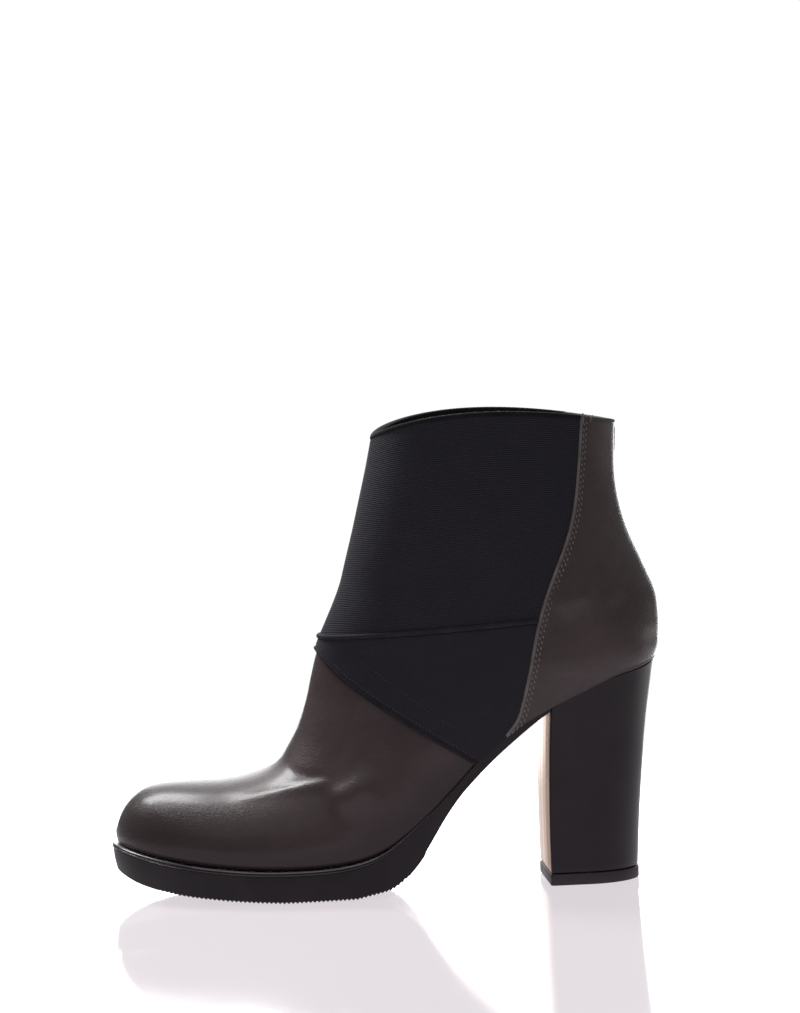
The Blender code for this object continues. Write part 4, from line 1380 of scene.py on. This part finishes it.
class BOOT_OT_heel(bpy.types.Operator):
    """Block heel with a glossy breast and its top lift"""

    bl_idname = "boot.heel"
    bl_label = "Heel and top lift"

    def execute(self, context):
        colours = context.scene.boot_colours
        sides = rubber_finish("heel_sides", colours.heel, roughness=0.42, specular=0.2, coat=0.18)
        breast = breast_finish("heel_breast", colours.breast)
        lift = rubber_finish("lift_rubber", colours.lift, roughness=0.55, specular=0.35)
        self.add_block([sides, breast])
        self.add_lift([lift])
        return {"FINISHED"}

    def add_block(self, finishes):
        feather, _ = feather_edge(600, HEEL_BACK_X)
        foot = LIFT_THICKNESS + CLEARANCE
        rims = [(0.0, -0.5, 0.0), (0.0, -0.12, 0.25), (0.0, 0.0, 0.6)]
        rims += [(level, 0.0, 0.0) for level in np.linspace(0.04, 0.98, 26)]
        rims += [(1.0, 0.0, -0.45), (1.0, -0.15, -0.12), (1.0, -0.6, 0.0)]
        levels = []
        for level, grow, rise in rims:
            outer, inner = heel_outline(level, grow)
            top = np.interp(outer[:, 0], feather[:, 0], feather[:, 2]) - CLEARANCE
            height = foot + level * (top - foot) + rise
            outer[:, 2] = height
            inner[:, 2] = height
            levels.append((outer, inner))
        points, faces, labels = stacked(levels)
        labels = np.where(labels == 1, 1, 0)
        add_piece("heel_cover", (points, faces), finishes, labels, 30, replaced=["heel_block"])

    def add_lift(self, finishes):
        rims = [
            (-1.6, 0.5), (-1.4, 0.0), (-0.35, 0.0), (-0.08, 0.12), (0.0, 0.4),
            (0.0, 4.5), (-0.08, 4.78), (-0.35, 4.95), (-1.5, 5.0),
        ]
        levels = []
        for grow, height in rims:
            outer, inner = heel_outline(0, LIFT_LEDGE + grow)
            outer[:, 2] = height
            inner[:, 2] = height
            levels.append((outer, inner))
        points, faces, _ = stacked(levels)
        add_piece("lift_piece", (points, faces), finishes, sharp=30, replaced=["top_lift"])


class BOOT_OT_insole(bpy.types.Operator):
    """Insole cover with a soft rounded edge"""

    bl_idname = "boot.insole"
    bl_label = "Insole"

    def execute(self, context):
        outer, inner = feather_edge(240, HEEL_BACK_X)
        normals = plan_normals(outer, inner)
        floor = outer[:, 2]
        levels = []
        for distance, height in ((0, 0.0), (0.35, 0.5), (0.4, 1.2), (0.1, 1.9), (-1.2, 2.2), (-4, 2.05)):
            levels.append(offset_level(outer, inner, normals, distance - INSOLE_INSET, floor + height))
        points, faces, _ = stacked(levels)
        cover = lining_finish("insole_cover", context.scene.boot_colours.insole)
        add_piece("insole_cover", (points, faces), [cover], sharp=60, replaced=["insole"])
        return {"FINISHED"}


class BOOT_OT_stitches(bpy.types.Operator):
    """Double rows of thread along the counter's edges and over the gussets"""

    bl_idname = "boot.stitches"
    bl_label = "Stitches"

    def execute(self, context):
        colours = context.scene.boot_colours
        sizes = context.scene.boot_sizes
        light = thread_finish("counter_thread", colours.thread)
        grey = thread_finish("gusset_dots", colours.dot_thread)
        for side in SIDES:
            edge = by_length(counter_path(-np.inf, np.inf), side, 150)
            edge = edge if side < 0 else edge[::-1]
            rows = []
            for distance in (sizes.stitch_first, sizes.stitch_second):
                rows.append(self.row(edge, side, distance / MM, COUNTER_TOP, sizes))
            if side < 0:
                rows += [self.tail(tail) for tail in THREAD_TAILS]
            name = "counter_stitches_" + SIDE_NAMES[side]
            add_piece(name, joined(rows), [light])
            edge = by_length(vamp_path(), side, 150)
            edge = edge[::-1] if side < 0 else edge
            path, up = surface_path(shifted(edge, side, GUSSET_STITCH_INSET), side, ELASTIC_TOP)
            threads = thread_row(path, up, pitch=1.7, length=0.9, width=0.5, height=0.35)
            add_piece("gusset_stitches_" + SIDE_NAMES[side], threads, [grey])
            line = np.stack(places_of(*seam_curve(GUSSET_ROW, 60).T), -1)
            path, up = surface_path(by_length(line, side, 80), side, ELASTIC_TOP)
            dots = thread_row(path, up, pitch=1.9, length=0.7, width=0.45, height=0.3)
            add_piece("gusset_dots_" + SIDE_NAMES[side], dots, [grey])
        return {"FINISHED"}

    def tail(self, corners):
        """A loose end of thread through side-view corners at the collar."""
        line = seam_curve(np.array(corners), 14)
        root = last_surface(*places_of(*corners[0]), -1)[0]
        lean = COUNTER_TOP + 0.5 * np.linspace(0, 1, 14)
        path = np.column_stack([line[:, 0], root[1] - lean, line[:, 1]])
        up = np.tile((0.0, -1.0, 0.0), (14, 1))
        angle = np.arange(6) * np.pi / 3
        profile = np.stack([np.cos(angle), np.sin(angle)], -1) * 0.3
        return swept_trim(path, up, profile)

    def row(self, edge, side, distance, height, sizes):
        path, up = surface_path(shifted(edge, side, distance), side, height)
        pitch = sizes.stitch_pitch / MM
        length = sizes.stitch_length / MM
        wide = sizes.stitch_width / MM
        return thread_row(path, up, pitch, length, wide, wide * 0.75, -side * STITCH_SLANT)


# The camera, found from the photo: sizes in millimetres and pixels, angles in degrees
PHOTO_SIZE = (800, 1013)
CAMERA_TARGET = (9.0, 0.0, 165.5)
CAMERA_AZIMUTH = -4.0
CAMERA_ELEVATION = 3.1
CAMERA_ROLL = 2.0
CAMERA_DISTANCE = 1745.0
CAMERA_FOCUS_PIXELS = 4013.0
SENSOR = 36.0

# The glow of the surroundings: low and high on the near side, behind the boot and to its right
NEAR_LOW_GLOW = 0.16
NEAR_HIGH_GLOW = 0.44
FAR_GLOW = 5.4
SIDE_GLOW = 1.5
# How far the bright part lies to the right, and the white that the camera sees
BRIGHT_SIDE = 0.13
SEEN_GLOW = 1.02

# The lights: name, place, target and size in metres, and power in watts
LIGHTS = [
    ("overhead", (-0.74, 0.75, 1.30), (-1.06, 0.0, 0.06), (1.0, 0.48), 35.5),
    ("front", (-0.15, -0.85, 1.35), (0.0, 0.0, 0.08), (2.2, 1.4), 3.6),
]


class BOOT_OT_stage(bpy.types.Operator):
    """Pale floor, soft studio lights, white background and the camera"""

    bl_idname = "boot.stage"
    bl_label = "Stage"

    def execute(self, context):
        scene = context.scene
        self.add_floor(scene)
        self.add_world(scene)
        for light in LIGHTS:
            self.add_light(scene, *light)
        self.add_camera(scene)
        scene.view_settings.view_transform = "Standard"
        return {"FINISHED"}

    def add_floor(self, scene):
        rings = [0.25, 0.5, 0.75, 1.0]
        count = 64
        turns = np.linspace(0, 2 * np.pi, count, endpoint=False)
        circle = np.stack([np.cos(turns), np.sin(turns), np.zeros(count)], -1) * FLOOR_RADIUS
        points = np.concatenate([circle * radius for radius in rings])
        faces = [tuple(range(count))]
        for low in range(0, (len(rings) - 1) * count, count):
            high = low + count
            for turn in range(count):
                after = (turn + 1) % count
                faces.append((low + turn, high + turn, high + after, low + after))
        mesh = bpy.data.meshes.new("studio_floor")
        mesh.from_pydata(points.tolist(), [], faces)
        mesh.materials.append(floor_finish("studio_floor", scene.boot_colours.floor))
        floor = bpy.data.objects.new("studio_floor", mesh)
        floor.location.z = -FLOOR_DROP
        scene.collection.objects.link(floor)

    def add_world(self, scene):
        """White to look at, bright behind the boot and dim on the near side."""
        world = bpy.data.worlds.new("studio")
        world.use_nodes = True
        looks = Looks(world.node_tree)
        direction = looks.node("ShaderNodeTexCoord", output="Generated")
        sideways, away, rising = (
            looks.node("ShaderNodeSeparateXYZ", {}, {0: direction}, output=axis) for axis in "XYZ"
        )
        sideways = sideways - BRIGHT_SIDE
        back = away.between(0.0, 0.3)
        narrow = 1 - (sideways * sideways).between(0.012, 0.13)
        behind = back * narrow * (1 - rising.between(0.34, 0.68))
        beside = back * sideways.between(0.2, 0.5) * (1 - rising.between(-0.25, -0.08))
        near = NEAR_LOW_GLOW + rising.between(-0.1, 0.8) * (NEAR_HIGH_GLOW - NEAR_LOW_GLOW)
        glow = near + behind * FAR_GLOW + beside * SIDE_GLOW
        around = looks.node("ShaderNodeBackground", {}, {"Color": (1, 1, 1, 1), "Strength": glow})
        seen = looks.node("ShaderNodeBackground", {}, {"Color": (1, 1, 1, 1), "Strength": SEEN_GLOW})
        looked_at = looks.node("ShaderNodeLightPath", output="Is Camera Ray")
        shown = looks.node("ShaderNodeMixShader", {}, {0: looked_at, 1: around, 2: seen})
        looks.feed(world.node_tree.nodes["World Output"].inputs["Surface"], shown)
        scene.world = world

    def add_light(self, scene, name, place, target, size, power):
        lamp = bpy.data.lights.new(name, "AREA")
        lamp.shape = "RECTANGLE"
        lamp.size, lamp.size_y = size
        lamp.energy = power
        light = bpy.data.objects.new(name, lamp)
        aim = np.asarray(target, float) - np.asarray(place, float)
        back = -aim / np.linalg.norm(aim)
        right = unit(np.cross((0, 0, 1), back) if abs(back[2]) < 0.99 else np.array([1.0, 0, 0]))
        up = np.cross(back, right)
        light.matrix_world = placed(right, up, back, place)
        light.visible_camera = False
        scene.collection.objects.link(light)

    def add_camera(self, scene):
        turn, tilt, roll = np.radians([CAMERA_AZIMUTH, CAMERA_ELEVATION, CAMERA_ROLL])
        back = np.array([np.sin(turn) * np.cos(tilt), -np.cos(turn) * np.cos(tilt), np.sin(tilt)])
        level = np.array([np.cos(turn), np.sin(turn), 0.0])
        upright = np.cross(back, level)
        right = level * np.cos(roll) - upright * np.sin(roll)
        up = upright * np.cos(roll) + level * np.sin(roll)
        data = bpy.data.cameras.new("photo_camera")
        data.sensor_width = SENSOR
        data.lens = CAMERA_FOCUS_PIXELS / max(PHOTO_SIZE) * SENSOR
        data.clip_start = 0.05
        data.clip_end = 50.0
        camera = bpy.data.objects.new("photo_camera", data)
        camera.matrix_world = placed(right, up, back, (np.array(CAMERA_TARGET) + back * CAMERA_DISTANCE) * MM)
        scene.collection.objects.link(camera)
        scene.camera = camera


def placed(right, up, back, place):
    """Matrix of an object that looks along minus back."""
    return Matrix([[*row] for row in np.column_stack([right, up, back, place])] + [[0, 0, 0, 1]])


PIECE_OPERATORS = (
    BOOT_OT_upper,
    BOOT_OT_elastic_band,
    BOOT_OT_gussets,
    BOOT_OT_counter,
    BOOT_OT_sole,
    BOOT_OT_heel,
    BOOT_OT_insole,
    BOOT_OT_stitches,
    BOOT_OT_stage,
)


class VIEW3D_PT_boot(bpy.types.Panel):
    """Lists the boot's settings and the steps that build it"""

    bl_label = "Heeled ankle boot"
    bl_space_type = "VIEW_3D"
    bl_region_type = "UI"
    bl_category = "Boot"

    def draw(self, context):
        for settings in (context.scene.boot_sizes, context.scene.boot_colours):
            box = self.layout.box()
            for name in settings.__annotations__:
                box.prop(settings, name)
        for step in PIECE_OPERATORS:
            self.layout.operator(step.bl_idname)


CLASSES = (BootSizes, BootColours, *PIECE_OPERATORS, VIEW3D_PT_boot)


def register():
    for kind in CLASSES:
        bpy.utils.register_class(kind)
    bpy.types.Scene.boot_sizes = PointerProperty(type=BootSizes)
    bpy.types.Scene.boot_colours = PointerProperty(type=BootColours)


def unregister():
    del bpy.types.Scene.boot_colours
    del bpy.types.Scene.boot_sizes
    for kind in reversed(CLASSES):
        bpy.utils.unregister_class(kind)


def main():
    register()
    bpy.ops.boot.upper()
    bpy.ops.boot.elastic_band()
    bpy.ops.boot.gussets()
    bpy.ops.boot.counter()
    bpy.ops.boot.sole()
    bpy.ops.boot.heel()
    bpy.ops.boot.insole()
    bpy.ops.boot.stitches()
    bpy.ops.boot.stage()


if __name__ == "__main__":
    main()
